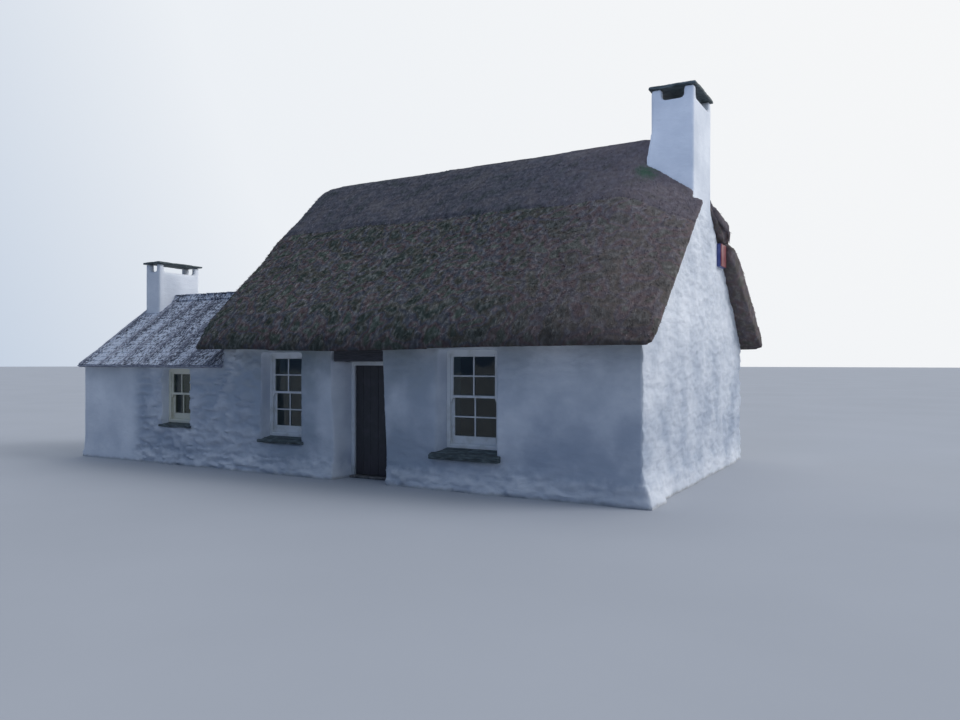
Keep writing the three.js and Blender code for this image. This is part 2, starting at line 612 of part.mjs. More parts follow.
// A strap on the back of the leaf, with the eye that turns round the pin
function strap(z) {
  const leafRear = LEAF_FRONT + DOOR_THICK;
  const plate = block(PIVOT.x + 2, PIVOT.x + HINGE.strap, leafRear - 1, leafRear + HINGE.thick,
    z, z + HINGE.tall);
  const lug = block(PIVOT.x + 2, PIVOT.x + HINGE.reach - 5, leafRear - 1, PIVOT.y, z, z + HINGE.tall);
  const eye = rod(PIVOT.x, PIVOT.y, HINGE.eye, z, z + HINGE.tall);
  return plate.add(lug).add(eye).subtract(rod(PIVOT.x, PIVOT.y, HINGE.pin + SEAT, z - 1, z + HINGE.tall + 1));
}

// The frame has stops in front, and the leaf closes against them with a running gap
function addDoorway(group) {
  const lintel = block(DOORWAY_LEFT, DOORWAY_RIGHT, 15, WALL, LINTEL_BOTTOM, LINTEL_TOP);
  addPiece(group, "door_lintel", lintel, finish(COLOURS.darkTimber));
  const outer = [REVEAL_LEFT, REVEAL_RIGHT, FLOOR_TOP, LINTEL_BOTTOM];
  const below = (x0, x1, z1) => block(x0, x1, 0, FAR / 9, 0, z1);
  const jambs = frontFrame(outer, [], STOP_FACE, REVEAL_DEPTH + DOOR_FRAME_DEPTH)
    .subtract(below(DOOR_HOLE[0], DOOR_HOLE[1], DOOR_HOLE[3]));
  const stops = frontFrame(outer, [], REVEAL_DEPTH, STOP_FACE)
    .subtract(below(DOOR_HOLE[0] + DOOR_STOP, DOOR_HOLE[1] - DOOR_STOP, DOOR_HOLE[3] - DOOR_STOP));
  const frame = HINGE.heights.reduce((solid, z) => solid.add(pintle(z)), jambs.add(stops));
  addPiece(group, "door_frame", frame, finish(COLOURS.paint, 0.5));
  const leaf = block(PIVOT.x, DOOR_HOLE[1] - LATCH_GAP, LEAF_FRONT, LEAF_FRONT + DOOR_THICK,
    FLOOR_TOP + RUNNING_GAP + 1, DOOR_HOLE[3] - RUNNING_GAP);
  const hung = HINGE.heights.reduce((solid, z) => solid.add(strap(z)), leaf);
  addPiece(group, "front_door", hung, finish(COLOURS.door, 0.6));
}

// A plain painted bell box high on the right gable
function addAlarmBox(group) {
  const box = block(SEAT, ALARM.depth, ALARM.front, ALARM.rear, ALARM.bottom, ALARM.top);
  addPiece(group, "alarm_box", box, finish(COLOURS.blue, 0.4));
}

const ANNEX_STACK = { left: -11120, right: -10700, front: 1375, rear: 2400, seat: 2700,
  shoulder: 3690, top: 3850, postX: 110, postY: 120, flueFloor: 3000 };
const ANNEX_CAP = 45;
const ANNEX_CAP_REACH = 50;
const ANNEX_RIDGE_COVER = 160;
const ANNEX_RIDGE_THICK = 35;

function addAnnexWalls(group) {
  const left = -MAIN_LENGTH - ANNEX_LENGTH;
  const right = -MAIN_LENGTH;
  const inside = underAnnexRoof(left - FOOT_SPLAY, right, 0);
  const lime = finish(COLOURS.limewash);
  const front = footedBlock(left, right, 0, ANNEX_WALL, FAR, { front: FOOT_SPLAY / 2, left: FOOT_SPLAY / 2 })
    .subtract(windowHole(WINDOWS.annex));
  addPiece(group, "annex_front_wall", front.intersect(inside), lime);
  const rear = footedBlock(left, right, ANNEX_DEPTH - ANNEX_WALL, ANNEX_DEPTH, FAR,
    { rear: FOOT_SPLAY / 2, left: FOOT_SPLAY / 2 });
  addPiece(group, "annex_rear_wall", rear.intersect(inside), lime);
  const seat = block(-2 * FAR, FAR, ANNEX_STACK.front, ANNEX_STACK.rear, ANNEX_STACK.seat, FAR);
  const gable = footedBlock(left, left + ANNEX_WALL, ANNEX_WALL, ANNEX_DEPTH - ANNEX_WALL, FAR,
    { left: FOOT_SPLAY / 2 });
  addPiece(group, "annex_gable_wall", gable.intersect(inside).subtract(seat), lime);
  const floor = block(left + ANNEX_WALL, right, ANNEX_WALL, ANNEX_DEPTH - ANNEX_WALL, 0, FLOOR_TOP);
  addPiece(group, "annex_floor", floor, finish(COLOURS.stone));
}

function annexStackBody(gap) {
  const { left, right, front, rear, seat, top } = ANNEX_STACK;
  return block(left - gap, right + gap, front - gap, rear + gap, seat - gap, top);
}

function addAnnexRoof(group) {
  const left = -MAIN_LENGTH - ANNEX_LENGTH - ANNEX_OVERHANG;
  const ridge = annexTopAt(ANNEX_RIDGE_Y);
  const eave = -ANNEX_OVERHANG;
  const slope = (side) => {
    const y = (v) => ANNEX_RIDGE_Y + side * (ANNEX_RIDGE_Y - v);
    const points = [[y(eave), ANNEX_EAVE_TOP - ANNEX_ROOF + SEAT],
      [y(ANNEX_RIDGE_Y), ridge - ANNEX_ROOF + SEAT], [y(ANNEX_RIDGE_Y), ridge], [y(eave), ANNEX_EAVE_TOP]];
    return prismX(side < 0 ? points : points.reverse(), left, -MAIN_LENGTH).subtract(annexStackBody(SEAT));
  };
  addPiece(group, "annex_roof_front", slope(-1), finish(COLOURS.slate, 0.7));
  addPiece(group, "annex_roof_rear", slope(1), finish(COLOURS.slate, 0.7));
  const drop = ANNEX_PITCH * ANNEX_RIDGE_COVER;
  const y = ANNEX_RIDGE_Y;
  const cover = prismX([[y, ridge + SEAT], [y + ANNEX_RIDGE_COVER, ridge - drop + SEAT],
    [y + ANNEX_RIDGE_COVER, ridge - drop + ANNEX_RIDGE_THICK], [y, ridge + ANNEX_RIDGE_THICK],
    [y - ANNEX_RIDGE_COVER, ridge - drop + ANNEX_RIDGE_THICK],
    [y - ANNEX_RIDGE_COVER, ridge - drop + SEAT]], left, -MAIN_LENGTH).subtract(annexStackBody(SEAT));
  addPiece(group, "annex_ridge", cover.subtract(block(-2 * FAR, ANNEX_STACK.left + 100,
    -FAR, FAR, 0, FAR)), finish(COLOURS.slate, 0.7));
}

function addAnnexChimney(group) {
  const { left, right, front, rear, postX, postY, shoulder, top, flueFloor } = ANNEX_STACK;
  const stack = openStack(annexStackBody(0), left, right, front, rear, postX, postY, shoulder, top,
    flueFloor);
  addPiece(group, "annex_chimney_stack", stack, finish(COLOURS.limewash));
  const reach = ANNEX_CAP_REACH;
  const cap = block(left - reach, right + reach, front - reach, rear + reach, top, top + ANNEX_CAP);
  addPiece(group, "annex_chimney_cap", cap, finish(COLOURS.darkSlate, 0.6));
}

// A short curtain hangs from a rod between the reveals of the annex window
const ROD = { behind: 60, below: 45, radius: 9 };
const CURTAIN = { left: -175, right: 160, deep: 44, above: 90 };

function addCurtain(group) {
  const win = WINDOWS.annex;
  const rodY = win.back + FRAME_DEPTH + ROD.behind;
  const rodZ = win.top - ROD.below;
  const length = win.frame - 2 * SEAT;
  const rod = new THREE.CylinderGeometry(ROD.radius, ROD.radius, length, 12).rotateZ(Math.PI / 2);
  addPiece(group, "annex_curtain_rod", toSolid(rod.translate(win.x, rodY, rodZ)), finish(COLOURS.timber));
  const cloth = block(win.x + CURTAIN.left, win.x + CURTAIN.right, rodY - CURTAIN.deep / 2,
    rodY + CURTAIN.deep / 2, win.bottom + CURTAIN.above, rodZ - ROD.radius - SEAT);
  addPiece(group, "annex_curtain", cloth, finish(COLOURS.cloth, 1));
}

const cottage = new THREE.Group();
cottage.position.set(MAIN_LENGTH / 2, -MAIN_DEPTH / 2, 0);

const mainHouse = new THREE.Group();
addMainWalls(mainHouse);
addMainFloor(mainHouse);
addDoorway(mainHouse);
addSashWindow(mainHouse, "right", WINDOWS.right, COLOURS.paint);
addSashWindow(mainHouse, "left", WINDOWS.left, COLOURS.paint);
addRearLight(mainHouse);
addPiece(mainHouse, "purlin_front", purlin(-1, 0), finish(COLOURS.timber));
addPiece(mainHouse, "purlin_rear", purlin(1, 0), finish(COLOURS.timber));
addThatch(mainHouse);
addRightChimney(mainHouse);
addAlarmBox(mainHouse);

const annex = new THREE.Group();
addAnnexWalls(annex);
addAnnexRoof(annex);
addAnnexChimney(annex);
addSashWindow(annex, "annex", WINDOWS.annex, COLOURS.cream);
addCurtain(annex);

cottage.add(mainHouse, annex);

export default cottage;
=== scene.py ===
"""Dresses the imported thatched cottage: masonry, thatch, slates, joinery, camera and light.

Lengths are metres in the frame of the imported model, unless a name says mm. X runs along the
house to its right gable, Y from the front wall to the rear wall, and Z up from the ground.
"""

from __future__ import annotations

import logging
import math
from collections.abc import Callable, Sequence
from dataclasses import asdict, dataclass, field
from enum import Enum
from functools import partial
from typing import Any

import bmesh
import bpy
import numpy as np
from mathutils import Matrix, Vector


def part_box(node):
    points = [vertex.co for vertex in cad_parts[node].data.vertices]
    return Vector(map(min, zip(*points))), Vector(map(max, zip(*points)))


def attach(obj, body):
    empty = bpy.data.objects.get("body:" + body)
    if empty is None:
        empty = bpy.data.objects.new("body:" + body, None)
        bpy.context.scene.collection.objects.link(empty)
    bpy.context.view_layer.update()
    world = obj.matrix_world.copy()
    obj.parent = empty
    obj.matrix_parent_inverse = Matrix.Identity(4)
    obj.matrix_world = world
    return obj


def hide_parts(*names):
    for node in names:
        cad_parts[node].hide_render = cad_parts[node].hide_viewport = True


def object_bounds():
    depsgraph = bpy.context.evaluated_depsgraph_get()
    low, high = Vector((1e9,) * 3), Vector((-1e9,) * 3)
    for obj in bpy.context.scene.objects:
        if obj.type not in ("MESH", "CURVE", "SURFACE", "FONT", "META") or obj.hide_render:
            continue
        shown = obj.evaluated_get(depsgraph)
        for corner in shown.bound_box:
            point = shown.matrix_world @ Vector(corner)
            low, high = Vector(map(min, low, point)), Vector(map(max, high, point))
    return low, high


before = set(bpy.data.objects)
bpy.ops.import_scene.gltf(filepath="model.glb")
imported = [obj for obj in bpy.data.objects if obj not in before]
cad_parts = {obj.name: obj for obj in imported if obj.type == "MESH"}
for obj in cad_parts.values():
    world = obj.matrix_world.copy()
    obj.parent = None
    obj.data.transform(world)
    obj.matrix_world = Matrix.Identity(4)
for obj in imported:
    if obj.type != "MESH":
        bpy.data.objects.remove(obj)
CAD_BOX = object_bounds()

log = logging.getLogger("cottage")

Colour = tuple[float, float, float, float]
Triple = tuple[float, float, float]
Stops = tuple[tuple[float, str], ...]
Socket = bpy.types.NodeSocket
Maker = Callable[..., Socket]

# Lines of the house that many pieces share
FRONT = -2.975
REAR = 2.975
GABLE = 3.675
PARTY = -3.675
ANNEX_END = -7.445
ANNEX_REAR = FRONT + 3.68
ANNEX_RIDGE = FRONT + 1.84
ANNEX_PITCH = math.atan(0.737)
WALL = 0.6
DOORWAY = (-1.285, -0.285)


class Body(str, Enum):
    """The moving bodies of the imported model."""

    HOUSE = "house"
    DOOR = "door"


class Slot(str, Enum):
    """The record's material slots."""

    LIMEWASH = "limewash"
    THATCH = "thatch"
    RIDGE = "thatch_ridge"
    ROOF_SLATE = "roof_slate"
    DARK_SLATE = "dark_slate"
    LINTEL = "lintel_timber"
    DOOR_PAINT = "door_paint"
    WINDOW_PAINT = "window_paint"
    CREAM_PAINT = "cream_paint"
    GLASS = "window_glass"
    FLOOR = "floor_stone"
    TIMBER = "roof_timber"
    ENAMEL = "box_enamel"
    CLOTH = "curtain_cloth"


class Node(Enum):
    """Kinds of node: Blender's type, its settings, its inputs in order and the output read."""

    ADD = ("ShaderNodeMath", {"operation": "ADD"})
    TAKE = ("ShaderNodeMath", {"operation": "SUBTRACT"})
    TIMES = ("ShaderNodeMath", {"operation": "MULTIPLY"})
    TIMES_ADD = ("ShaderNodeMath", {"operation": "MULTIPLY_ADD"})
    OVER = ("ShaderNodeMath", {"operation": "DIVIDE"})
    LEAST = ("ShaderNodeMath", {"operation": "MINIMUM"})
    FLOOR = ("ShaderNodeMath", {"operation": "FLOOR"})
    FRACTION = ("ShaderNodeMath", {"operation": "FRACT"})
    MODULO = ("ShaderNodeMath", {"operation": "MODULO"})
    COSINE = ("ShaderNodeMath", {"operation": "COSINE"})
    ABOVE = ("ShaderNodeMath", {"operation": "GREATER_THAN"})
    MOVE = ("ShaderNodeVectorMath", {"operation": "ADD"})
    APART = ("ShaderNodeVectorMath", {"operation": "SUBTRACT"})
    EACH_TIMES = ("ShaderNodeVectorMath", {"operation": "MULTIPLY"})
    EACH_OVER = ("ShaderNodeVectorMath", {"operation": "DIVIDE"})
    SINES = ("ShaderNodeVectorMath", {"operation": "SINE"})
    SCALE = ("ShaderNodeVectorMath", {"operation": "SCALE"}, (0, "Scale"))
    DOT = ("ShaderNodeVectorMath", {"operation": "DOT_PRODUCT"}, (0, 1), 1)
    DISTANCE = ("ShaderNodeVectorMath", {"operation": "DISTANCE"}, (0, 1), 1)
    JOIN = ("ShaderNodeCombineXYZ",)
    PARTS = ("ShaderNodeSeparateXYZ",)
    MIX = ("ShaderNodeMix", {"data_type": "RGBA"}, (0, 6, 7), 2)
    RAMP = ("ShaderNodeValToRGB",)
    RANGE = ("ShaderNodeMapRange", {"interpolation_type": "SMOOTHSTEP"})
    NOISE = ("ShaderNodeTexNoise", {}, ("Vector", "Scale", "Detail", "Distortion"))
    OBJECT_PLACE = ("ShaderNodeTexCoord", {}, (), "Object")
    RAY = ("ShaderNodeTexCoord", {}, (), "Generated")
    SHEET_PLACE = ("ShaderNodeUVMap",)
    VALUE = ("ShaderNodeAttribute", {}, (), "Fac")
    BUMP = ("ShaderNodeBump", {}, ("Height", "Distance"))
    PLACE = ("GeometryNodeInputPosition",)
    NORMAL = ("GeometryNodeInputNormal",)
    INDEX = ("GeometryNodeInputIndex",)
    NAMED = ("GeometryNodeInputNamedAttribute", {"data_type": "FLOAT"}, ("Name",))
    KEEP = ("GeometryNodeStoreNamedAttribute", {"data_type": "FLOAT"}, ("Geometry", "Name", "Value"))
    SHIFT = ("GeometryNodeSetPosition", {}, ("Geometry", "Offset"))
    SMOOTH = ("GeometryNodeSetShadeSmooth", {}, ("Geometry",))
    SCATTER = ("GeometryNodeDistributePointsOnFaces", {}, ("Mesh", "Density", "Seed"), "Points")
    CHANCE = ("FunctionNodeRandomValue", {"data_type": "FLOAT"}, (2, 3, "Seed"), 1)
    CHANCES = ("FunctionNodeRandomValue", {"data_type": "FLOAT_VECTOR"}, (0, 1, "Seed"))
    AIM = ("FunctionNodeAlignRotationToVector", {"axis": "Z"}, ("Vector",))
    THING = ("GeometryNodeObjectInfo", {}, ("Object",), "Geometry")
    STAND = ("GeometryNodeInstanceOnPoints", {}, ("Points", "Instance", "Rotation", "Scale"))
    LINE = ("GeometryNodeMeshLine", {}, ("Count", "Start Location", "Offset"))
    TURN = ("GeometryNodeTransform", {}, ("Geometry", "Translation", "Rotation"))
    DROP = ("GeometryNodeDeleteGeometry", {"domain": "INSTANCE"}, ("Geometry", "Selection"))
    RUN = ("GeometryNodeCurvePrimitiveLine", {}, ("End",))
    RESAMPLE = ("GeometryNodeResampleCurve", {}, ("Curve", "Count"))
    RING = ("GeometryNodeCurvePrimitiveCircle", {}, ("Resolution", "Radius"))
    THICKEN = ("GeometryNodeSetCurveRadius", {}, ("Curve", "Radius"))
    SWEEP = ("GeometryNodeCurveToMesh", {}, ("Curve", "Profile Curve", "Fill Caps"))
    REALIZE = ("GeometryNodeRealizeInstances",)
    MATERIAL = ("GeometryNodeSetMaterial", {}, ("Geometry", "Material"))
    OUTPUT = ("NodeGroupOutput",)

    def __init__(
        self, kind: str, settings: dict[str, Any] | None = None, inputs: Sequence[int | str] = range(5),
        out: int | str = 0,
    ) -> None:
        """Keeps the parts of a kind.

        Args:
            kind: Blender's name for the type.
            settings: The node's own properties.
            inputs: The inputs that plain values go to, in order.
            out: The output that is read.
        """
        self.kind, self.settings, self.inputs, self.out = kind, settings or {}, inputs, out


def linear(code: str) -> Colour:
    """Turns an sRGB hex colour into the linear values that Blender takes.

    Args:
        code: A colour such as "#8A8577".

    Returns:
        Red, green, blue and an alpha of 1.
    """
    parts = [int(code[i : i + 2], 16) / 255 for i in (1, 3, 5)]
    red, green, blue = (v / 12.92 if v <= 0.04045 else ((v + 0.055) / 1.055) ** 2.4 for v in parts)
    return red, green, blue, 1.0


def add_node(
    tree: bpy.types.NodeTree, kind: Node, *values: Any, stops: Stops = (), out: int | str | None = None,
    **named: Any,
) -> Socket | None:
    """Adds one node with its settings, its values and the links into it.

    Args:
        tree: The tree that takes the node.
        kind: The kind of node.
        values: What its inputs take in order: a socket to link, a hex colour or a value.
        stops: Places and hex colours along a ramp.
        out: The output to return, where it isn't the kind's usual one.
        named: Other inputs and properties, by name.

    Returns:
        The output, or None for a node that has none.
    """
    made = tree.nodes.new(kind.kind)
    for key, value in {**kind.settings, **dict(zip(kind.inputs, values)), **named}.items():
        if isinstance(key, str) and key not in made.inputs:
            setattr(made, key, value)
        elif isinstance(value, Socket):
            tree.links.new(value, made.inputs[key])
        else:
            is_colour = isinstance(value, str) and value.startswith("#")
            made.inputs[key].default_value = linear(value) if is_colour else value
    if stops:
        elements = made.color_ramp.elements
        elements[0].position, elements[1].position = stops[0][0], stops[-1][0]
        for place, _ in stops[1:-1]:
            elements.new(place)
        for element, (_, code) in zip(elements, stops):
            element.color = linear(code)
    return made.outputs[kind.out if out is None else out] if len(made.outputs) else None


def pattern(
    node: Maker, across_mm: float, stretch: Triple = (1, 1, 1), detail: float = 3.0, warp: float = 0.0
) -> Socket:
    """Adds a cloudy pattern that is fixed to the piece.

    Args:
        node: Adds a node to the material's tree.
        across_mm: Real size of one patch.
        stretch: How many times longer a patch is along each axis.
        detail: How many finer patterns lie on top.
        warp: How strongly the patches are bent.

    Returns:
        The pattern's value, which lies round 0.5.
    """
    scale = [1000 / across_mm / s for s in stretch]
    return node(Node.NOISE, node(Node.EACH_TIMES, node(Node.OBJECT_PLACE), scale), 1.0, detail, warp)


def axis_band(
    node: Maker, axis: int, start: float, end: float, ragged: float, across_mm: float, most: float = 1.0
) -> Socket:
    """Adds a ragged change along one axis of the piece.

    Args:
        node: Adds a node to the material's tree.
        axis: 0, 1 or 2 for X, Y or Z.
        start: Where the value is 0.
        end: Where the value is at its most.
        ragged: How far the edge wanders, in metres.
        across_mm: Real size of one bay of the edge.
        most: The largest value.

    Returns:
        The value, from 0 to the most.
    """
    along = node(Node.PARTS, node(Node.OBJECT_PLACE), out=axis)
    shift = node(Node.TIMES_ADD, pattern(node, across_mm, detail=4), 2 * ragged, -ragged)
    return node(Node.RANGE, node(Node.ADD, along, shift), start, end, 0.0, most)


@dataclass(frozen=True)
class Finish:
    """A real material with the values that are the same all over its surface.

    Attributes:
        name: The material's common name and how it was made.
        slot: The record's slot that it stands for.
        roughness: The shader's roughness.
        specular: The shader's specular level.
    """

    name: str
    slot: Slot
    roughness: float = 0.8
    specular: float = 0.35

    def build(self) -> bpy.types.Material:
        """Makes the material the first time that it is asked for.

        Returns:
            The material.
        """
        made = bpy.data.materials.get(self.name)
        if made is None:
            made = bpy.data.materials.new(self.name)
            made.use_nodes = True
            tree = made.node_tree
            shader = tree.nodes["Principled BSDF"].inputs
            colour, height, depth_mm = self.paint(partial(add_node, tree))
            for key, value in self.values().items():
                shader[key].default_value = value
            if isinstance(colour, str):
                shader["Base Color"].default_value = linear(colour)
            else:
                tree.links.new(colour, shader["Base Color"])
            if height is not None:
                tree.links.new(add_node(tree, Node.BUMP, height, depth_mm / 1000), shader["Normal"])
        return made

    def values(self) -> dict[str, Any]:
        """Returns the shader's values that are the same all over."""
        return {"Roughness": self.roughness, "Specular IOR Level": self.specular}

    def paint(self, node: Maker) -> tuple[Socket | str, Socket | None, float]:
        """Adds what varies over the surface.

        Args:
            node: Adds a node to the material's tree.

        Returns:
            The colour, the pattern of the fine relief, and the relief's depth in mm.
        """
        raise NotImplementedError


@dataclass(frozen=True)
class Limewash(Finish):
    """Limewash brushed over rubble and roughcast.

    Chalky and quite matt, with clouds where the coats are thin, brush marks of 45 mm and
    lumps of 70 mm. Damp and painted shade grey the lower wall, painted shade greys it under
    the eaves and by the door, and dirt and painted shade darken the joints. Fresh wash lies
    thick and white along the foot, over a line of soil.
    """

    light: str = "#F6F9FD"
    thin: str = "#DEE3EA"
    # Darker colours for painted shade: with dirt in the joints, with damp low down, alone under the eaves and
    # by the door.
    joint: str = "#A6B3C3"
    damp: str = "#98A5B8"
    grime: str = "#6E7C80"
    fresh: str = "#FAFBFD"
    soil: str = "#87847C"

    def paint(self, node: Maker) -> tuple[Socket | str, Socket | None, float]:
        """Adds clouds, dirty and shaded joints, damp, painted shade, the fresh foot, lumps and brush marks.

        Args:
            node: Adds a node to the tree.

        Returns:
            The colour, the relief, and its depth in mm.
        """
        coat = node(Node.RAMP, pattern(node, 750, detail=7), stops=((0.34, self.thin), (0.6, self.light)))
        brush = pattern(node, 45, (1.8, 4, 1), 5)
        coat = node(Node.MIX, node(Node.RANGE, brush, 0.5, 0.72, 0.0, 0.25), coat, self.thin)
        patchy = node(Node.RANGE, pattern(node, 900, detail=5), 0.35, 0.65, 0.3, 0.8)
        # Painted shade: these mixes darken the lower wall (damp and shade), the wall under the eaves and by
        # the door (shade), and the joints (dirt and shade).
        for name, colour in (("damp", self.damp), ("grime", self.grime), ("hollow", self.joint)):
            found = node(Node.VALUE, attribute_name=name)
            coat = node(Node.MIX, node(Node.TIMES, found, patchy), coat, colour)
        coat = node(Node.MIX, axis_band(node, 2, 0.36, 0.1, 0.2, 130, 0.4), coat, self.fresh)
        coat = node(Node.MIX, axis_band(node, 2, 0.06, 0.0, 0.04, 120, 0.45), coat, self.soil)
        lumps = node(Node.TIMES_ADD, pattern(node, 70, (1.6, 4, 1), 5), 2.0, pattern(node, 8))
        lumps = node(Node.TIMES, lumps, node(Node.VALUE, attribute_name="grit"))
        return coat, node(Node.TIMES_ADD, brush, 0.5, lumps), 9.0


@dataclass(frozen=True)
class Thatch(Finish):
    """Weathered straw thatch, dressed so that the stem ends show.

    Grey-brown and quite matt. Stems are 4 mm thick, drawn here at 11 mm so that they show,
    and stand in tufts of about 60 mm. Clouds of 280 mm are purple, green or brown where the
    coat holds more or less water. The straw at the right gable is newer and paler, the
    dripping eave is darker, painted shadow lies under each course, and moss grows where the
    chimney sheds its water.
    """

    tones: Stops = ((0.32, "#171718"), (0.45, "#3E403F"), (0.56, "#6E6F6E"), (0.7, "#AAA9A6"))
    clouds: Stops = (
        (0.36, "#45524B"), (0.43, "#646055"), (0.5, "#5F6470"), (0.57, "#766062"), (0.65, "#59675C"),
    )
    new_straw: str = "#806F6C"
    wet: str = "#232123"
    moss: str = "#3C6046"

    def paint(self, node: Maker) -> tuple[Socket | str, Socket | None, float]:
        """Adds tufts, clouds, the paler end, the wet eave, painted course shadow, moss and stem ends.

        Args:
            node: Adds a node to the tree.

        Returns:
            The colour, the relief, and its depth in mm.
        """
        tuft = pattern(node, 60, (1, 1.6, 1.6), 6, 0.3)
        coat = node(Node.RAMP, tuft, stops=self.tones)
        coat = node(Node.MIX, 0.58, coat, node(Node.RAMP, pattern(node, 280, detail=1.5), stops=self.clouds))
        coat = node(Node.MIX, axis_band(node, 0, 0.5, 3.4, 0.5, 800, 0.4), coat, self.new_straw)
        coat = node(Node.MIX, axis_band(node, 2, 2.45, 2.05, 0.1, 300, 0.45), coat, self.wet)
        # Painted shadow under each course, in the dark colour of the wet eave.
        row = node(Node.VALUE, attribute_name="row")
        coat = node(Node.MIX, node(Node.TIMES, row, 0.2), coat, self.wet)
        away = node(Node.DISTANCE, node(Node.OBJECT_PLACE), (3.02, -0.72, 4.83))
        ragged = node(Node.TIMES_ADD, pattern(node, 90), 0.25, away)
        coat = node(Node.MIX, node(Node.RANGE, ragged, 0.4, 0.2, 0.0, 0.75), coat, self.moss)
        tone = node(Node.VALUE, attribute_name="tone")
        coat = node(Node.SCALE, coat, node(Node.TIMES_ADD, tone, 0.9, 1.0))
        stems = pattern(node, 11, (1, 2.5, 2.5), 2)
        return coat, node(Node.TIMES_ADD, tuft, 2.0, stems), 9.0


@dataclass(frozen=True)
class RoofSlate(Finish):
    """Old riven slates with a thin cement wash brushed over them.

    Blue-grey and satin where bare. The wash has gone chalky, and has flaked off in patches
    of about 25 mm. It lies thickest towards the eave and the left end, and along uneven
    lines that run down the slope about every 0.58 m.
    """

    bare: Stops = ((0.3, "#2C313E"), (0.48, "#474D5D"), (0.62, "#606476"), (0.75, "#7D8191"))
    wash: str = "#C9D1E0"
    lines: float = 0.58

    def paint(self, node: Maker) -> tuple[Socket | str, Socket | None, float]:
        """Adds the slate's own mottling, the wash in streaks and the riven face.

        Args:
            node: Adds a node to the tree.

        Returns:
            The colour, the relief, and its depth in mm.
        """
        slate = node(Node.RAMP, pattern(node, 38, detail=6, warp=0.4), stops=self.bare)
        tone = node(Node.VALUE, attribute_name="tone")
        slate = node(Node.SCALE, slate, node(Node.TIMES_ADD, tone, 0.7, 1.0))
        along = node(Node.PARTS, node(Node.OBJECT_PLACE))
        bend = node(Node.TIMES_ADD, pattern(node, 700, detail=5), 0.34, along)
        wave = node(Node.COSINE, node(Node.TIMES, bend, 2 * math.pi / self.lines))
        flaked = pattern(node, 26, (1, 2.4, 2.4), 7)
        cover = node(Node.TIMES_ADD, flaked, 9.0, node(Node.TIMES, wave, 0.45))
        cover = node(Node.TIMES_ADD, pattern(node, 240, (1, 3, 3), 4), 3.0, cover)
        to_eave = axis_band(node, 2, 2.9, 1.8, 0.2, 500, 0.3)
        to_left = axis_band(node, 0, -5.4, -7.2, 0.3, 600, 0.35)
        cover = node(Node.ADD, node(Node.ADD, cover, to_eave), to_left)
        share = node(Node.RANGE, cover, 5.75, 6.75, 0.02, 0.9)
        return node(Node.MIX, share, slate, self.wash), flaked, 6.0


@dataclass(frozen=True)
class DarkSlate(Finish):
    """Thick riven slate, as used for sills and chimney caps.

    Blue-black with a soft sheen. It splits in flat layers, so the face steps by a
    millimetre or two, and grey lichen sits in spots of about 15 mm.
    """

    tones: Stops = ((0.3, "#2C3436"), (0.5, "#475254"), (0.68, "#667276"))
    lichen: str = "#7C8074"

    def paint(self, node: Maker) -> tuple[Socket | str, Socket | None, float]:
        """Adds layers, lichen and the riven face.

        Args:
            node: Adds a node to the tree.

        Returns:
            The colour, the relief, and its depth in mm.
        """
        layers = pattern(node, 70, (2, 1, 0.3), 6, 0.5)
        face = node(Node.RAMP, layers, stops=self.tones)
        spots = node(Node.RANGE, pattern(node, 18), 0.66, 0.74, 0.0, 0.7)
        return node(Node.MIX, spots, face, self.lichen), layers, 4.0


@dataclass(frozen=True)
class Paint(Finish):
    """Brushed oil paint on softwood.

    Smooth with a low gloss. Brush marks of 2 mm run along the wood, dirt sits in clouds,
    and dust dulls the lower parts.
    """

    coat: str = "#D9DDE0"
    dirt: str = "#A5A79F"
    dirt_share: float = 0.35
    dust: str = "#8D8B84"
    dust_top: float = 0.4

    def paint(self, node: Maker) -> tuple[Socket | str, Socket | None, float]:
        """Adds clouds of dirt, dust at the foot and brush marks.

        Args:
            node: Adds a node to the tree.

        Returns:
            The colour, the relief, and its depth in mm.
        """
        share = node(Node.RANGE, pattern(node, 160, detail=6), 0.45, 0.7, 0.0, self.dirt_share)
        coat = node(Node.MIX, share, self.coat, self.dirt)
        dusty = axis_band(node, 2, self.dust_top, 0.0, 0.08, 150, 0.4)
        return node(Node.MIX, dusty, coat, self.dust), pattern(node, 2.5, (1, 1, 12), 2), 0.25


@dataclass(frozen=True)
class Timber(Finish):
    """Sawn or adzed timber, bare or tarred.

    The grain runs along X. Early and late wood alternate every 5 mm, and the surface is dry
    and slightly furred.
    """

    tones: Stops = ((0.35, "#4A3626"), (0.52, "#6B5138"), (0.7, "#8A6C4C"))

    def paint(self, node: Maker) -> tuple[Socket | str, Socket | None, float]:
        """Adds the grain in colour and in relief."""
        grain = pattern(node, 5, (40, 1, 1), 5, 0.2)
        return node(Node.RAMP, grain, stops=self.tones), grain, 1.8


@dataclass(frozen=True)
class Stone(Finish):
    """Worn flagstone or lime mortar, with mottling of about 60 mm and a gritty face."""

    tones: Stops = ((0.3, "#4C4A49"), (0.5, "#6D6A68"), (0.7, "#8A8681"))
    grit_mm: float = 4.0
    depth_mm: float = 1.2

    def paint(self, node: Maker) -> tuple[Socket | str, Socket | None, float]:
        """Adds mottling, a shade for each stone and grit.

        Args:
            node: Adds a node to the tree.

        Returns:
            The colour, the relief, and its depth in mm.
        """
        face = node(Node.RAMP, pattern(node, 60, detail=7), stops=self.tones)
        tone = node(Node.VALUE, attribute_name="tone")
        face = node(Node.SCALE, face, node(Node.TIMES_ADD, tone, 0.5, 1.0))
        return face, pattern(node, self.grit_mm), self.depth_mm


@dataclass(frozen=True)
class Glass(Finish):
    """Old drawn window glass: clear, faintly green, with slow waves about 120 mm long."""

    body: str = "#B9C7C2"

    def values(self) -> dict[str, Any]:
        """Returns the shader's values, with those of clear glass."""
        return {**super().values(), "Transmission Weight": 1.0, "IOR": 1.45}

    def paint(self, node: Maker) -> tuple[Socket | str, Socket | None, float]:
        """Adds the waves."""
        return self.body, pattern(node, 120, (1, 1, 2), 1), 0.8


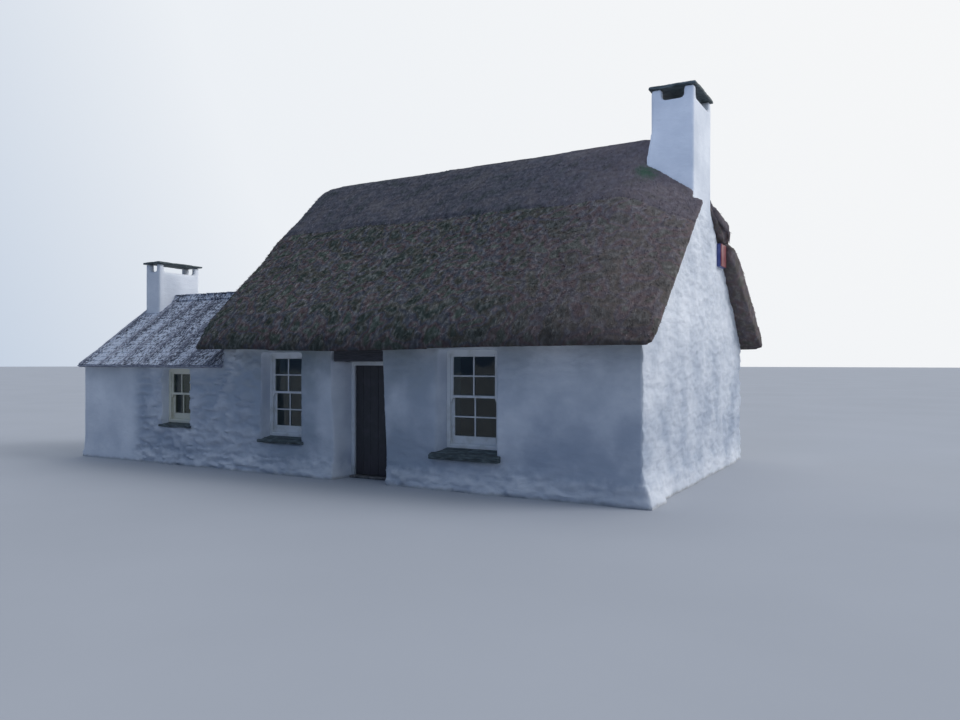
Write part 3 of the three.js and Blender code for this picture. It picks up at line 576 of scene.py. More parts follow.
@dataclass(frozen=True)
class Spotted(Finish):
    """A coated face with soft spots of another colour.

    Forged iron under old black paint, rusted in spots of about 12 mm; moulded plastic that
    has faded in clouds of 130 mm; or the faint cloud of a plain studio floor.
    """

    coat: str = "#17171A"
    spot: str = "#5A3320"
    spot_mm: float = 12.0
    edge: tuple[float, float] = (0.56, 0.68)
    grain_mm: float = 14.0
    depth_mm: float = 0.6

    def paint(self, node: Maker) -> tuple[Socket | str, Socket | None, float]:
        """Adds the spots and the grain of the surface."""
        spots = node(Node.RANGE, pattern(node, self.spot_mm, detail=5), *self.edge, 0.0, 0.8)
        coat = node(Node.MIX, spots, self.coat, self.spot)
        return coat, pattern(node, self.grain_mm, detail=2), self.depth_mm


@dataclass(frozen=True)
class Cloth(Finish):
    """Plain-woven unbleached cotton.

    Soft and quite matt. The real threads are 0.5 mm apart, drawn here at 3 mm so that they
    show, and read from the sheet's own UV map in metres.
    """

    thread: str = "#C2B993"
    gap: str = "#938B6B"
    thread_mm: float = 3.0

    def values(self) -> dict[str, Any]:
        """Returns the shader's values, with the sheen of loose fibres."""
        return {**super().values(), "Sheen Weight": 0.3}

    def paint(self, node: Maker) -> tuple[Socket | str, Socket | None, float]:
        """Adds the weave in colour and in relief.

        Args:
            node: Adds a node to the tree.

        Returns:
            The colour, the relief, and its depth in mm.
        """
        place = node(Node.SHEET_PLACE, uv_map="UVMap")
        waves = node(Node.SINES, node(Node.EACH_TIMES, place, (2000 * math.pi / self.thread_mm,) * 3))
        across, down = (node(Node.PARTS, waves, out=i) for i in (0, 1))
        share = node(Node.RANGE, node(Node.TIMES, across, down), -1.0, 1.0, 0.0, 1.0)
        soiled = node(Node.TIMES, share, pattern(node, 90))
        return node(Node.MIX, soiled, self.thread, self.gap), share, 0.4


LIMEWASH = Limewash("brushed_limewash", Slot.LIMEWASH, 0.95, 0.15)
THATCH = Thatch("weathered_straw", Slot.THATCH, 0.95, 0.1)
RIDGE_THATCH = Thatch(
    "dressed_ridge_straw", Slot.RIDGE, 0.95, 0.1,
    tones=((0.3, "#262629"), (0.44, "#45464A"), (0.56, "#616267"), (0.72, "#828186")),
    clouds=((0.3, "#4A5154"), (0.42, "#595B65"), (0.5, "#63636F"), (0.58, "#66636A"), (0.68, "#706E73")),
)
ROOF_SLATE = RoofSlate("washed_riven_slate", Slot.ROOF_SLATE, 0.75, 0.35)
MORTAR = Stone(
    "cement_mortar", Slot.ROOF_SLATE, 0.95, 0.15,
    ((0.3, "#6C7080"), (0.5, "#8C91A0"), (0.7, "#B3B8C4")), grit_mm=6.0, depth_mm=2.5,
)
DARK_SLATE = DarkSlate("riven_dark_slate", Slot.DARK_SLATE, 0.55, 0.4)
LINTEL = Timber("tarred_oak", Slot.LINTEL, 0.7, 0.3, ((0.35, "#303136"), (0.52, "#45464C"), (0.7, "#5C5E66")))
DOOR_PAINT = Paint("dark_door_paint", Slot.DOOR_PAINT, 0.45, 0.35, "#3B3B3E", "#48464B", 0.6, "#4D4446", 0.7)
WINDOW_PAINT = Paint("white_window_paint", Slot.WINDOW_PAINT, 0.5, 0.4)
CREAM_PAINT = Paint("cream_window_paint", Slot.CREAM_PAINT, 0.5, 0.4, "#DEDCCB", "#AFAB95")
GLASS = Glass("drawn_window_glass", Slot.GLASS, 0.03, 0.15)
FLAGSTONE = Stone("worn_flagstone", Slot.FLOOR, 0.75, 0.3)
ROOF_TIMBER = Timber("sawn_roof_timber", Slot.TIMBER, 0.85)
IRON = Spotted("painted_iron", Slot.DOOR_PAINT, 0.55, 0.5)
BLUE_BOX = Spotted(
    "blue_moulded_plastic", Slot.ENAMEL, 0.4, 0.5, "#39468A", "#5A679C", 130.0, (0.4, 0.7), 1.5, 0.08
)
RED_BOX = Spotted(
    "red_moulded_plastic", Slot.ENAMEL, 0.4, 0.5, "#8A4246", "#A26A6A", 130.0, (0.4, 0.7), 1.5, 0.08
)
COTTON = Cloth("unbleached_cotton", Slot.CLOTH, 0.95, 0.1)
FLOOR = Spotted("pale_floor", Slot.FLOOR, 0.9, 0.2, "#A9ADB4", "#AEB2B9", 4000.0, (0.3, 0.7), 4000.0, 0.0)


class GeometryTree:
    """A Geometry Nodes tree with named inputs, run on one object by a modifier that then goes."""

    KINDS = {
        float: "NodeSocketFloat", int: "NodeSocketInt", Vector: "NodeSocketVector",
        bpy.types.Object: "NodeSocketObject", bpy.types.Material: "NodeSocketMaterial",
    }

    def __init__(self, name: str, sizes: dict[str, Any]) -> None:
        """Makes the group with its inputs and calls the method that fills it.

        Args:
            name: The group's name.
            sizes: Each input's name and value; one of them is "Material".
        """
        self.sizes = sizes
        self.tree = bpy.data.node_groups.new(name, "GeometryNodeTree")
        face = self.tree.interface
        for way in ("INPUT", "OUTPUT"):
            face.new_socket("Geometry", in_out=way, socket_type="NodeSocketGeometry")
        self.keys = {
            label: face.new_socket(label, in_out="INPUT", socket_type=self.KINDS[type(value)]).identifier
            for label, value in sizes.items()
        }
        self.node = partial(add_node, self.tree)
        self.given = self.tree.nodes.new("NodeGroupInput").outputs
        geometry = self.node(Node.REALIZE, self.fill())
        self.node(Node.OUTPUT, self.node(Node.MATERIAL, geometry, self.given["Material"]))

    def fill(self) -> Socket:
        """Adds the nodes that make the geometry, and returns its socket."""
        raise NotImplementedError

    def noise(self, place: Socket, size: Socket, detail: float = 2.0) -> Socket:
        """Returns noise from about -0.5 to 0.5 whose features have the given size."""
        spread = self.node(Node.EACH_OVER, place, self.same(size))
        return self.node(Node.TAKE, self.node(Node.NOISE, spread, 1.0, detail), 0.5)

    def same(self, value: Socket) -> Socket:
        """Returns a vector with the same number on every axis."""
        return self.node(Node.JOIN, value, value, value)

    def lift(self, geometry: Socket, height: Socket) -> Socket:
        """Moves the geometry's points along their normals and shades it smooth."""
        offset = self.node(Node.SCALE, self.node(Node.NORMAL), height)
        return self.node(Node.SMOOTH, self.node(Node.SHIFT, geometry, offset))

    def run(self, host: bpy.types.Object, name: str) -> bpy.types.Object:
        """Runs the tree on an object.

        Args:
            host: The mesh object that the tree starts from. It is removed.
            name: The name of the result.

        Returns:
            A new object with a plain mesh.
        """
        modifier = host.modifiers.new("grow", "NODES")
        modifier.node_group = self.tree
        for label, value in self.sizes.items():
            modifier[self.keys[label]] = value
        return plain(host, name)


def plain(host: bpy.types.Object, name: str) -> bpy.types.Object:
    """Turns an object and its modifiers into a new object with a plain mesh.

    Args:
        host: The object. It is removed.
        name: The new object's name.

    Returns:
        The new object.
    """
    graph = bpy.context.evaluated_depsgraph_get()
    graph.update()
    mesh = bpy.data.meshes.new_from_object(
        host.evaluated_get(graph), preserve_all_data_layers=True, depsgraph=graph
    )
    old = host.data
    bpy.data.objects.remove(host)
    if not old.users:
        bpy.data.meshes.remove(old)
    return linked(name, mesh)


def linked(name: str, mesh: bpy.types.Mesh) -> bpy.types.Object:
    """Puts a mesh into the scene as an object at the origin.

    Args:
        name: The name of both.
        mesh: The mesh.

    Returns:
        The object.
    """
    mesh.name = name
    made = bpy.data.objects.new(name, mesh)
    bpy.context.scene.collection.objects.link(made)
    return made


class MasonryTree(GeometryTree):
    """Raises stones, lumps, a slow swell and grain on a closed skin, along its normals.

    It reads three attributes: "move" is how far a point may move, "rubble" how strongly the
    stones show and "rough" how strongly the lumps do. It leaves a mask that is 1 in the
    joints between stones, where the limewash is painted darker for dirt and for shade.
    """

    def fill(self) -> Socket:
        """Adds the relief.

        Returns:
            The moved skin.
        """
        node, given = self.node, self.given
        move, rubble, rough = (node(Node.NAMED, name) for name in ("move", "rubble", "rough"))
        place = node(Node.MOVE, node(Node.PLACE), self.same(given["Seed"]))
        size = node(Node.JOIN, given["Stone Length"], given["Stone Length"], given["Stone Height"])
        shape = node(Node.NOISE, node(Node.EACH_OVER, place, size), 1.0, 4.0, 0.5)
        high = node(Node.RANGE, shape, 0.4, 0.62, 0.0, 1.0)
        # Joints between stones, which the limewash paints darker for dirt and for painted shade.
        hollow = node(Node.TIMES, node(Node.TAKE, 1.0, high), rubble)
        wide = node(Node.EACH_TIMES, place, (1.0, 0.4, 1.0))
        parts = (
            (node(Node.TAKE, high, 0.6), given["Stone Depth"], rubble),
            (self.noise(wide, given["Lump Size"], 2.0), given["Lump Depth"], rough),
            (self.noise(place, given["Swell Size"], 1.0), given["Swell Depth"], 1.0),
            (self.noise(wide, given["Grain Size"]), given["Grain Depth"], 1.0),
        )
        total: Socket | float = 0.0
        for shape, depth, share in parts:
            total = node(Node.TIMES_ADD, shape, node(Node.TIMES, depth, share), total)
        kept = node(Node.KEEP, given["Geometry"], "hollow", hollow)
        return self.lift(kept, node(Node.TIMES, total, move))


@dataclass(frozen=True)
class Relief:
    """Sizes of the relief on a skin, in metres; a depth is from the lowest to the highest.

    Attributes:
        stone_length: Length of a stone along the wall.
        stone_height: Height of a stone.
        stone_depth: How far a stone stands out.
        lump_size: Size of a lump of roughcast.
        lump_depth: How far it stands out.
        swell_size: Length of the slow swell.
        swell_depth: Depth of the slow swell.
        grain_size: Size of the fine grain.
        grain_depth: Depth of the fine grain.
        seed: Moves the pattern.
    """

    stone_length: float = 0.3
    stone_height: float = 0.1
    stone_depth: float = 0.042
    lump_size: float = 0.12
    lump_depth: float = 0.045
    swell_size: float = 0.8
    swell_depth: float = 0.035
    grain_size: float = 0.06
    grain_depth: float = 0.009
    seed: float = 3.0

    def apply(self, skin: bpy.types.Object, name: str, finish: Finish) -> bpy.types.Object:
        """Runs the relief on a skin that has its attributes, and returns the new object."""
        sizes = {key.replace("_", " ").title(): value for key, value in asdict(self).items()}
        return MasonryTree(f"{name}_relief", {**sizes, "Material": finish.build()}).run(skin, name)


class LaidStrawTree(GeometryTree):
    """Gives a thatch coat its hollows, tufts and level courses, along its normals.

    It reads "move", "tufted" and "coursed", and leaves "row", which is 1 in the shadow
    under each course.
    """

    def fill(self) -> Socket:
        """Adds the relief.

        Returns:
            The moved coat.
        """
        node, given = self.node, self.given
        move, tufted, coursed = (node(Node.NAMED, name) for name in ("move", "tufted", "coursed"))
        place = node(Node.PLACE)
        total = node(Node.TIMES, self.noise(place, given["Hollow Size"]), given["Hollow Depth"])
        tuft = node(Node.TIMES, self.noise(place, given["Tuft Size"], 3.0), tufted)
        total = node(Node.TIMES_ADD, tuft, given["Tuft Depth"], total)
        wander = node(Node.TIMES, self.noise(place, given["Course Bay"]), given["Course Wander"])
        bent = node(Node.ADD, wander, node(Node.PARTS, place, out=2))
        share = node(Node.FRACTION, node(Node.OVER, bent, given["Course Rise"]))
        step = node(Node.TIMES, node(Node.TAKE, 0.5, share), coursed)
        total = node(Node.TIMES_ADD, step, given["Course Depth"], total)
        shadow = node(Node.TIMES, node(Node.RANGE, share, 0.55, 1.0, 0.0, 1.0), coursed)
        return self.lift(node(Node.KEEP, given["Geometry"], "row", shadow), node(Node.TIMES, total, move))


class StrawEndsTree(GeometryTree):
    """Stands straw ends on a coat, pointing down the slope and a little out of it."""

    def fill(self) -> Socket:
        """Adds the straws.

        Returns:
            Their instances.
        """
        node, given = self.node, self.given
        density = node(Node.TIMES, node(Node.NAMED, "straws"), given["Density"])
        points = node(Node.SCATTER, given["Geometry"], density, given["Seed"])
        normal = points.node.outputs["Normal"]
        out = node(Node.SCALE, normal, node(Node.DOT, normal, (0, 0, -1)))
        aimed = node(Node.MOVE, node(Node.APART, (0, 0, -1), out), node(Node.SCALE, normal, given["Lift"]))
        stray = self.same(given["Stray"])
        chance = node(Node.CHANCES, node(Node.SCALE, stray, -1.0), stray, given["Seed"])
        turned = node(Node.AIM, node(Node.MOVE, aimed, chance))
        length = node(Node.CHANCE, 0.55, 1.3, given["Seed"])
        stood = node(Node.STAND, points, node(Node.THING, given["Straw"]), turned, self.same(length))
        tone = node(Node.CHANCE, -0.45, 0.55, given["Seed"])
        return node(Node.KEEP, stood, "tone", tone, domain="INSTANCE")


class CoursedTree(GeometryTree):
    """Lays copies of one flat shape in courses, such as slates, flags or boards.

    The courses are laid flat from the corner X = 0, Y = 0 and then pitched and moved. A copy
    whose middle is between "Clear Low" and "Clear High" is left out.
    """

    def fill(self) -> Socket:
        """Adds the courses.

        Returns:
            Their instances.
        """
        node, given = self.node, self.given
        index = node(Node.INDEX)
        row = node(Node.FLOOR, node(Node.OVER, index, given["Across"]))
        column = node(Node.MODULO, index, given["Across"])
        column = node(Node.TIMES_ADD, node(Node.MODULO, row, 2.0), given["Stagger"], column)
        column = node(Node.LEAST, column, node(Node.TAKE, given["Across"], 1.0))
        x = node(Node.TIMES, node(Node.ADD, column, 0.5), given["Width"])
        y = node(Node.TIMES, node(Node.ADD, row, 0.5), given["Gauge"])
        back = node(Node.SCALE, given["Scatter"], -1.0)
        stray = node(Node.CHANCES, back, given["Scatter"], given["Seed"])
        place = node(Node.MOVE, node(Node.JOIN, x, y), stray)
        points = node(Node.SHIFT, node(Node.LINE, given["Count"]), Position=place)
        back = node(Node.SCALE, given["Turn"], -1.0)
        turn = node(Node.CHANCES, back, given["Turn"], given["Seed"])
        turn = node(Node.MOVE, node(Node.JOIN, given["Tilt"]), turn)
        size = node(Node.CHANCES, given["Smallest"], (1.0, 1.0, 1.0), given["Seed"])
        laid = node(Node.STAND, points, node(Node.THING, given["Shape"]), turn, size)
        laid = node(Node.KEEP, laid, "tone", node(Node.CHANCE, -0.3, 0.3, given["Seed"]), domain="INSTANCE")
        pitch = node(Node.JOIN, given["Pitch"], 0.0, given["Facing"])
        return self.cleared(node(Node.TURN, laid, given["Corner"], pitch))

    def cleared(self, laid: Socket) -> Socket:
        """Leaves out the copies that would stand in the cleared box.

        Args:
            laid: The copies.

        Returns:
            Those that stay.
        """
        node, place = self.node, self.node(Node.PLACE)
        inside: Socket | float = 1.0
        for first, second in ((place, self.given["Clear Low"]), (self.given["Clear High"], place)):
            room = node(Node.APART, first, second)
            for axis in range(3):
                inside = node(Node.LEAST, inside, node(Node.PARTS, room, out=axis))
        return node(Node.DROP, laid, node(Node.ABOVE, inside, 0.0))


@dataclass
class Courses:
    """Sizes of a coursed laying, in metres and radians.

    Attributes:
        shape: The object that is repeated. It is removed afterwards.
        across: How many copies a course has.
        rows: How many courses there are.
        width: Distance between copies along a course.
        gauge: Distance between courses.
        corner: Where the laying's first corner goes.
        pitch: Slope of the laying, about X.
        facing: Turn of the laying, about Z.
        stagger: How far every other course is shifted, as a share of the width.
        tilt: Extra slope of each copy.
        turn: Largest random turn about each axis.
        scatter: Largest random shift along each axis.
        smallest: Smallest random size along each axis; the largest is 1.
        clear: Two corners of a box in which nothing is laid.
        seed: Seed of the random draws.
    """

    shape: bpy.types.Object
    across: int
    rows: int
    width: float
    gauge: float
    corner: Sequence[float]
    pitch: float = 0.0
    facing: float = 0.0
    stagger: float = 0.5
    tilt: float = 0.0
    turn: Triple = (0.0, 0.0, 0.0)
    scatter: Triple = (0.0, 0.0, 0.0)
    smallest: Triple = (1.0, 1.0, 1.0)
    clear: tuple[Sequence[float], Sequence[float]] = ((0.0, 0.0, 0.0), (0.0, 0.0, 0.0))
    seed: int = 1

    def lay(self, name: str, finish: Finish) -> bpy.types.Object:
        """Lays the courses.

        Args:
            name: The new object's name.
            finish: Its finish.

        Returns:
            The object.
        """
        sizes = {
            "Shape": self.shape, "Across": float(self.across), "Count": self.across * self.rows,
            "Clear Low": Vector(self.clear[0]), "Clear High": Vector(self.clear[1]), "Seed": self.seed,
            "Material": finish.build(),
        }
        for key in ("width", "gauge", "pitch", "facing", "stagger", "tilt"):
            sizes[key.title()] = getattr(self, key)
        for key in ("corner", "turn", "scatter", "smallest"):
            sizes[key.title()] = Vector(getattr(self, key))
        host = linked(f"{name}_host", bpy.data.meshes.new(name))
        made = CoursedTree(f"{name}_courses", sizes).run(host, name)
        discard(self.shape)
        return made


class DownSlopeTree(GeometryTree):
    """Lays uneven ribs of mortar down a slope, side by side."""

    def fill(self) -> Socket:
        """Adds the ribs.

        Returns:
            Their mesh.
        """
        node, given, place = self.node, self.given, self.node(Node.PLACE)
        foot = node(Node.LINE, given["Count"], given["Foot"], given["Apart"])
        ribs = node(Node.REALIZE, node(Node.STAND, foot, node(Node.RUN, given["Run"])))
        ribs = node(Node.RESAMPLE, ribs, 60)
        side = node(Node.TIMES, self.noise(place, given["Bay"]), given["Wander"])
        ribs = node(Node.SHIFT, ribs, node(Node.JOIN, side))
        thick = node(Node.RANGE, self.noise(place, given["Lump"], 3.0), -0.25, 0.25, 0.15, 1.0)
        return node(Node.SWEEP, node(Node.THICKEN, ribs, thick), node(Node.RING, 8, given["Radius"]), True)


def discard(*gone: bpy.types.Object) -> None:
    """Removes objects that only served to make others."""
    for thing in gone:
        bpy.data.objects.remove(thing)


def settle(
    piece: bpy.types.Object, finish: Finish, body: Body = Body.HOUSE, stands_for: Sequence[str] = ()
) -> bpy.types.Object:
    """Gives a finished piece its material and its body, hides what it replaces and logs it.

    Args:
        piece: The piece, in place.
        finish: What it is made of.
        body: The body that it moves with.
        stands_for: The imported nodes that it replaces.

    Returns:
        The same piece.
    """
    if piece.data.materials:
        piece.data.materials[0] = finish.build()
    else:
        piece.data.materials.append(finish.build())
    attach(piece, body.value)
    if stands_for:
        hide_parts(*stands_for)
    triangles = sum(len(p.vertices) - 2 for p in piece.data.polygons)
    log.info("%-28s %7d triangles on %s", piece.name, triangles, body.value)
    return piece


def from_bmesh(bm: bmesh.types.BMesh, name: str, smooth_deg: float | None = None) -> bpy.types.Object:
    """Turns a bmesh into an object with outward normals.

    Args:
        bm: The bmesh. It is freed.
        name: The object's name.
        smooth_deg: Angle below which it is shaded smooth.

    Returns:
        The object.
    """
    bmesh.ops.recalc_face_normals(bm, faces=bm.faces)
    mesh = bpy.data.meshes.new(name)
    bm.to_mesh(mesh)
    bm.free()
    if smooth_deg is not None:
        mesh.shade_smooth()
        mesh.set_sharp_from_angle(angle=math.radians(smooth_deg))
    return linked(name, mesh)


def add_box(bm: bmesh.types.BMesh, low: Sequence[float], high: Sequence[float], chamfer: float = 0.0) -> None:
    """Adds a closed box.

    Args:
        bm: Takes the box.
        low: Its lowest corner.
        high: Its highest corner.
        chamfer: Size of its chamfered arrises.
    """
    low_v, high_v = Vector(low), Vector(high)
    place = Matrix.Translation((low_v + high_v) / 2) @ Matrix.Diagonal((*(high_v - low_v), 1.0))
    verts = bmesh.ops.create_cube(bm, size=1.0, matrix=place)["verts"]
    if chamfer:
        edges = list({edge for vert in verts for edge in vert.link_edges})
        bmesh.ops.bevel(bm, geom=edges, offset=chamfer, segments=1, affect="EDGES")


def add_prism(bm: bmesh.types.BMesh, outline: Sequence[Sequence[float]], along: Sequence[float]) -> None:
    """Adds a closed prism.

    Args:
        bm: Takes the prism.
        outline: Its flat outline.
        along: The vector that sweeps the outline.
    """
    near = [bm.verts.new(point) for point in outline]
    far = [bm.verts.new(Vector(point) + Vector(along)) for point in outline]
    bm.faces.new(near)
    bm.faces.new(reversed(far))
    for i, j in zip(range(len(near)), [*range(1, len(near)), 0]):
        bm.faces.new((near[i], far[i], far[j], near[j]))


def flat_shape(
    name: str, width: float, length: float, thick: float, chamfer: float, steps: int = 1,
    ragged: float = 0.0, seed: int = 5,
) -> bpy.types.Object:
    """Makes one flat slab whose top is at Z = 0, centred on the origin, to be repeated.

    Args:
        name: The object's name.
        width: Size along X.
        length: Size along Y.
        thick: Thickness below the top.
        chamfer: Size of the worn arris round the top.
        steps: Points along each side.
        ragged: How far the sides wander.
        seed: Seed of that wandering.

    Returns:
        The slab's object.
    """
    draw = np.random.default_rng(seed)
    corners = [(-1, -1), (1, -1), (1, 1), (-1, 1)]
    outline = []
    for (ax, ay), (bx, by) in zip(corners, corners[1:] + corners[:1]):
        for share in (step / steps for step in range(steps)):
            x, y = ax + (bx - ax) * share, ay + (by - ay) * share
            wander = draw.uniform(-ragged, ragged, 2)
            outline.append(Vector((x * width / 2 + wander[0], y * length / 2 + wander[1], 0)))
    bm = bmesh.new()
    rings = []
    for inset, z in ((0.0, -thick), (0.0, -chamfer), (chamfer, 0.0)):
        shrink = Vector((1 - 2 * inset / width, 1 - 2 * inset / length, 1))
        rings.append([bm.verts.new(p * shrink + Vector((0, 0, z))) for p in outline])
    bm.faces.new(reversed(rings[0]))
    bm.faces.new(rings[2])
    for low, high in zip(rings, rings[1:]):
        for i, j in zip(range(len(low)), [*range(1, len(low)), 0]):
            bm.faces.new((low[i], low[j], high[j], high[i]))
    return from_bmesh(bm, name)


@dataclass
class Skin:
    """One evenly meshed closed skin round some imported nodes.

    Attributes:
        nodes: The nodes that it goes round.
        size: Length of a face of its mesh, in metres.
        soften: How many times its arrises are smoothed.
        sink: How far the underside goes down first, so that a thin edge has enough body.
    """

    nodes: Sequence[str]
    size: float
    soften: int = 2
    sink: float = 0.0

    def wrap(self, name: str) -> bpy.types.Object:
        """Joins copies of the nodes and meshes them evenly.

        Args:
            name: The skin's name.

        Returns:
            The skin.
        """
        first, *others = [self.merged(node) for node in self.nodes]
        for other in others:
            union = first.modifiers.new("join", "BOOLEAN")
            union.operation, union.solver, union.object = "UNION", "EXACT", other
        joined = plain(first, name)
        discard(*others)
        places, normals = points_of(joined)
        places[:, 2] -= self.sink * step_up(-normals[:, 2], 0.0, 0.3)
        move_points(joined, places)
        remesh = joined.modifiers.new("even", "REMESH")
        remesh.mode, remesh.voxel_size, remesh.use_smooth_shade = "VOXEL", self.size, True
        if self.soften:
            smooth = joined.modifiers.new("soften", "SMOOTH")
            smooth.factor, smooth.iterations = 0.5, self.soften
        return plain(joined, name)

    @staticmethod
    def merged(node: str) -> bpy.types.Object:
        """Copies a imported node's mesh and joins its loose triangles.

        Args:
            node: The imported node.

        Returns:
            The copy.
        """
        bm = bmesh.new()
        bm.from_mesh(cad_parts[node].data)
        bmesh.ops.remove_doubles(bm, verts=bm.verts, dist=2e-5)
        bmesh.ops.dissolve_limit(bm, angle_limit=math.radians(0.5), verts=bm.verts, edges=bm.edges)
        bmesh.ops.triangulate(bm, faces=bm.faces)
        return from_bmesh(bm, f"{node}_copy")


def points_of(piece: bpy.types.Object) -> tuple[np.ndarray, np.ndarray]:
    """Reads a piece's points.

    Args:
        piece: The piece.

    Returns:
        Their places and their normals, one row each.
    """
    mesh = piece.data
    places, normals = np.empty((2, len(mesh.vertices) * 3))
    mesh.vertices.foreach_get("co", places)
    mesh.vertex_normals.foreach_get("vector", normals)
    return places.reshape(-1, 3), normals.reshape(-1, 3)


def move_points(piece: bpy.types.Object, places: np.ndarray) -> None:
    """Puts a piece's points in new places."""
    piece.data.vertices.foreach_set("co", places.ravel())
    piece.data.update()


def hold_in(
    piece: bpy.types.Object, box: Sequence[Sequence[float]], soft: float = 0.001, spare: float = 0.0
) -> None:
    """Eases a piece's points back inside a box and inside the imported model's box.

    Args:
        piece: The piece.
        box: The box's lowest and highest corners.
        soft: Depth under each side in which points are eased.
        spare: How far the box's own sides are moved out.
    """
    places, _ = points_of(piece)
    for sign, corner, most in zip((-1, 1), box, CAD_BOX):
        start = np.minimum(sign * np.array(corner) + spare, sign * np.array(most)) - soft
        past = np.maximum(sign * places - start, 0)
        places = np.where(past > 0, sign * (start + soft * (1 - np.exp(-past / soft))), places)
    move_points(piece, places)


def keep_values(piece: bpy.types.Object, **values: np.ndarray | float) -> None:
    """Stores one number for each point under each name.

    Args:
        piece: The piece.
        values: The numbers, by name.
    """
    for name, numbers in values.items():
        kept = piece.data.attributes.get(name) or piece.data.attributes.new(name, "FLOAT", "POINT")
        filled = np.broadcast_to(numbers, len(piece.data.vertices)).astype(np.float32)
        kept.data.foreach_set("value", filled)


def step_up(values: np.ndarray, start: float, end: float) -> np.ndarray:
    """Goes smoothly from 0 at start to 1 at end."""
    share = np.clip((values - start) / (end - start), 0, 1)
    return share * share * (3 - 2 * share)


def clear_of(places: np.ndarray, nodes: Sequence[str], near: float, far: float) -> np.ndarray:
    """Finds how clear points are of some nodes.

    Args:
        places: The points.
        nodes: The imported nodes.
        near: Distance up to which the share is 0.
        far: Distance from which it is 1.

    Returns:
        A share for each point.
    """
    share = np.ones(len(places))
    for low, high in map(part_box, nodes):
        apart = np.maximum(np.maximum(np.array(low) - places, places - np.array(high)), 0)
        share *= step_up(np.linalg.norm(apart, axis=1), near, far)
    return share


def thin_hidden(skin: bpy.types.Object, hidden: np.ndarray, share: float, name: str) -> bpy.types.Object:
    """Takes out faces where they can't be seen.

    Args:
        skin: The skin. It is removed.
        hidden: For each point, whether it is hidden.
        share: The share of all the faces that stays.
        name: The new skin's name.

    Returns:
        The thinned skin.
    """
    group = skin.vertex_groups.new(name="hidden")
    group.add(np.flatnonzero(hidden).tolist(), 1.0, "REPLACE")
    thin = skin.modifiers.new("thin", "DECIMATE")
    thin.ratio, thin.vertex_group, thin.vertex_group_factor = share, "hidden", 1000.0
    return plain(skin, name)


def cut_off(skin: bpy.types.Mesh, axis: int, at: float) -> tuple[bpy.types.Mesh, bpy.types.Mesh]:
    """Cuts a closed skin in two across one axis and closes both halves.

    Args:
        skin: The mesh to cut.
        axis: 0, 1 or 2 for X, Y or Z.
        at: Where the cut lies on that axis.

    Returns:
        The half below the cut and the half above it.
    """
    halves = []
    for upper in (False, True):
        bm = bmesh.new()
        bm.from_mesh(skin)
        place, facing = Vector(), Vector()
        place[axis], facing[axis] = at, 1.0
        cut = bmesh.ops.bisect_plane(
            bm, geom=bm.verts[:] + bm.edges[:] + bm.faces[:], dist=1e-6, plane_co=place, plane_no=facing,
            clear_inner=upper, clear_outer=not upper,
        )
        rim = [edge for edge in cut["geom_cut"] if isinstance(edge, bmesh.types.BMEdge)]
        bmesh.ops.triangle_fill(bm, edges=rim, use_beauty=True)
        bmesh.ops.recalc_face_normals(bm, faces=bm.faces)
        half = bpy.data.meshes.new(skin.name)
        bm.to_mesh(half)
        bm.free()
        half.shade_smooth()
        half.set_sharp_from_angle(angle=math.radians(60))
        halves.append(half)
    return halves[0], halves[1]


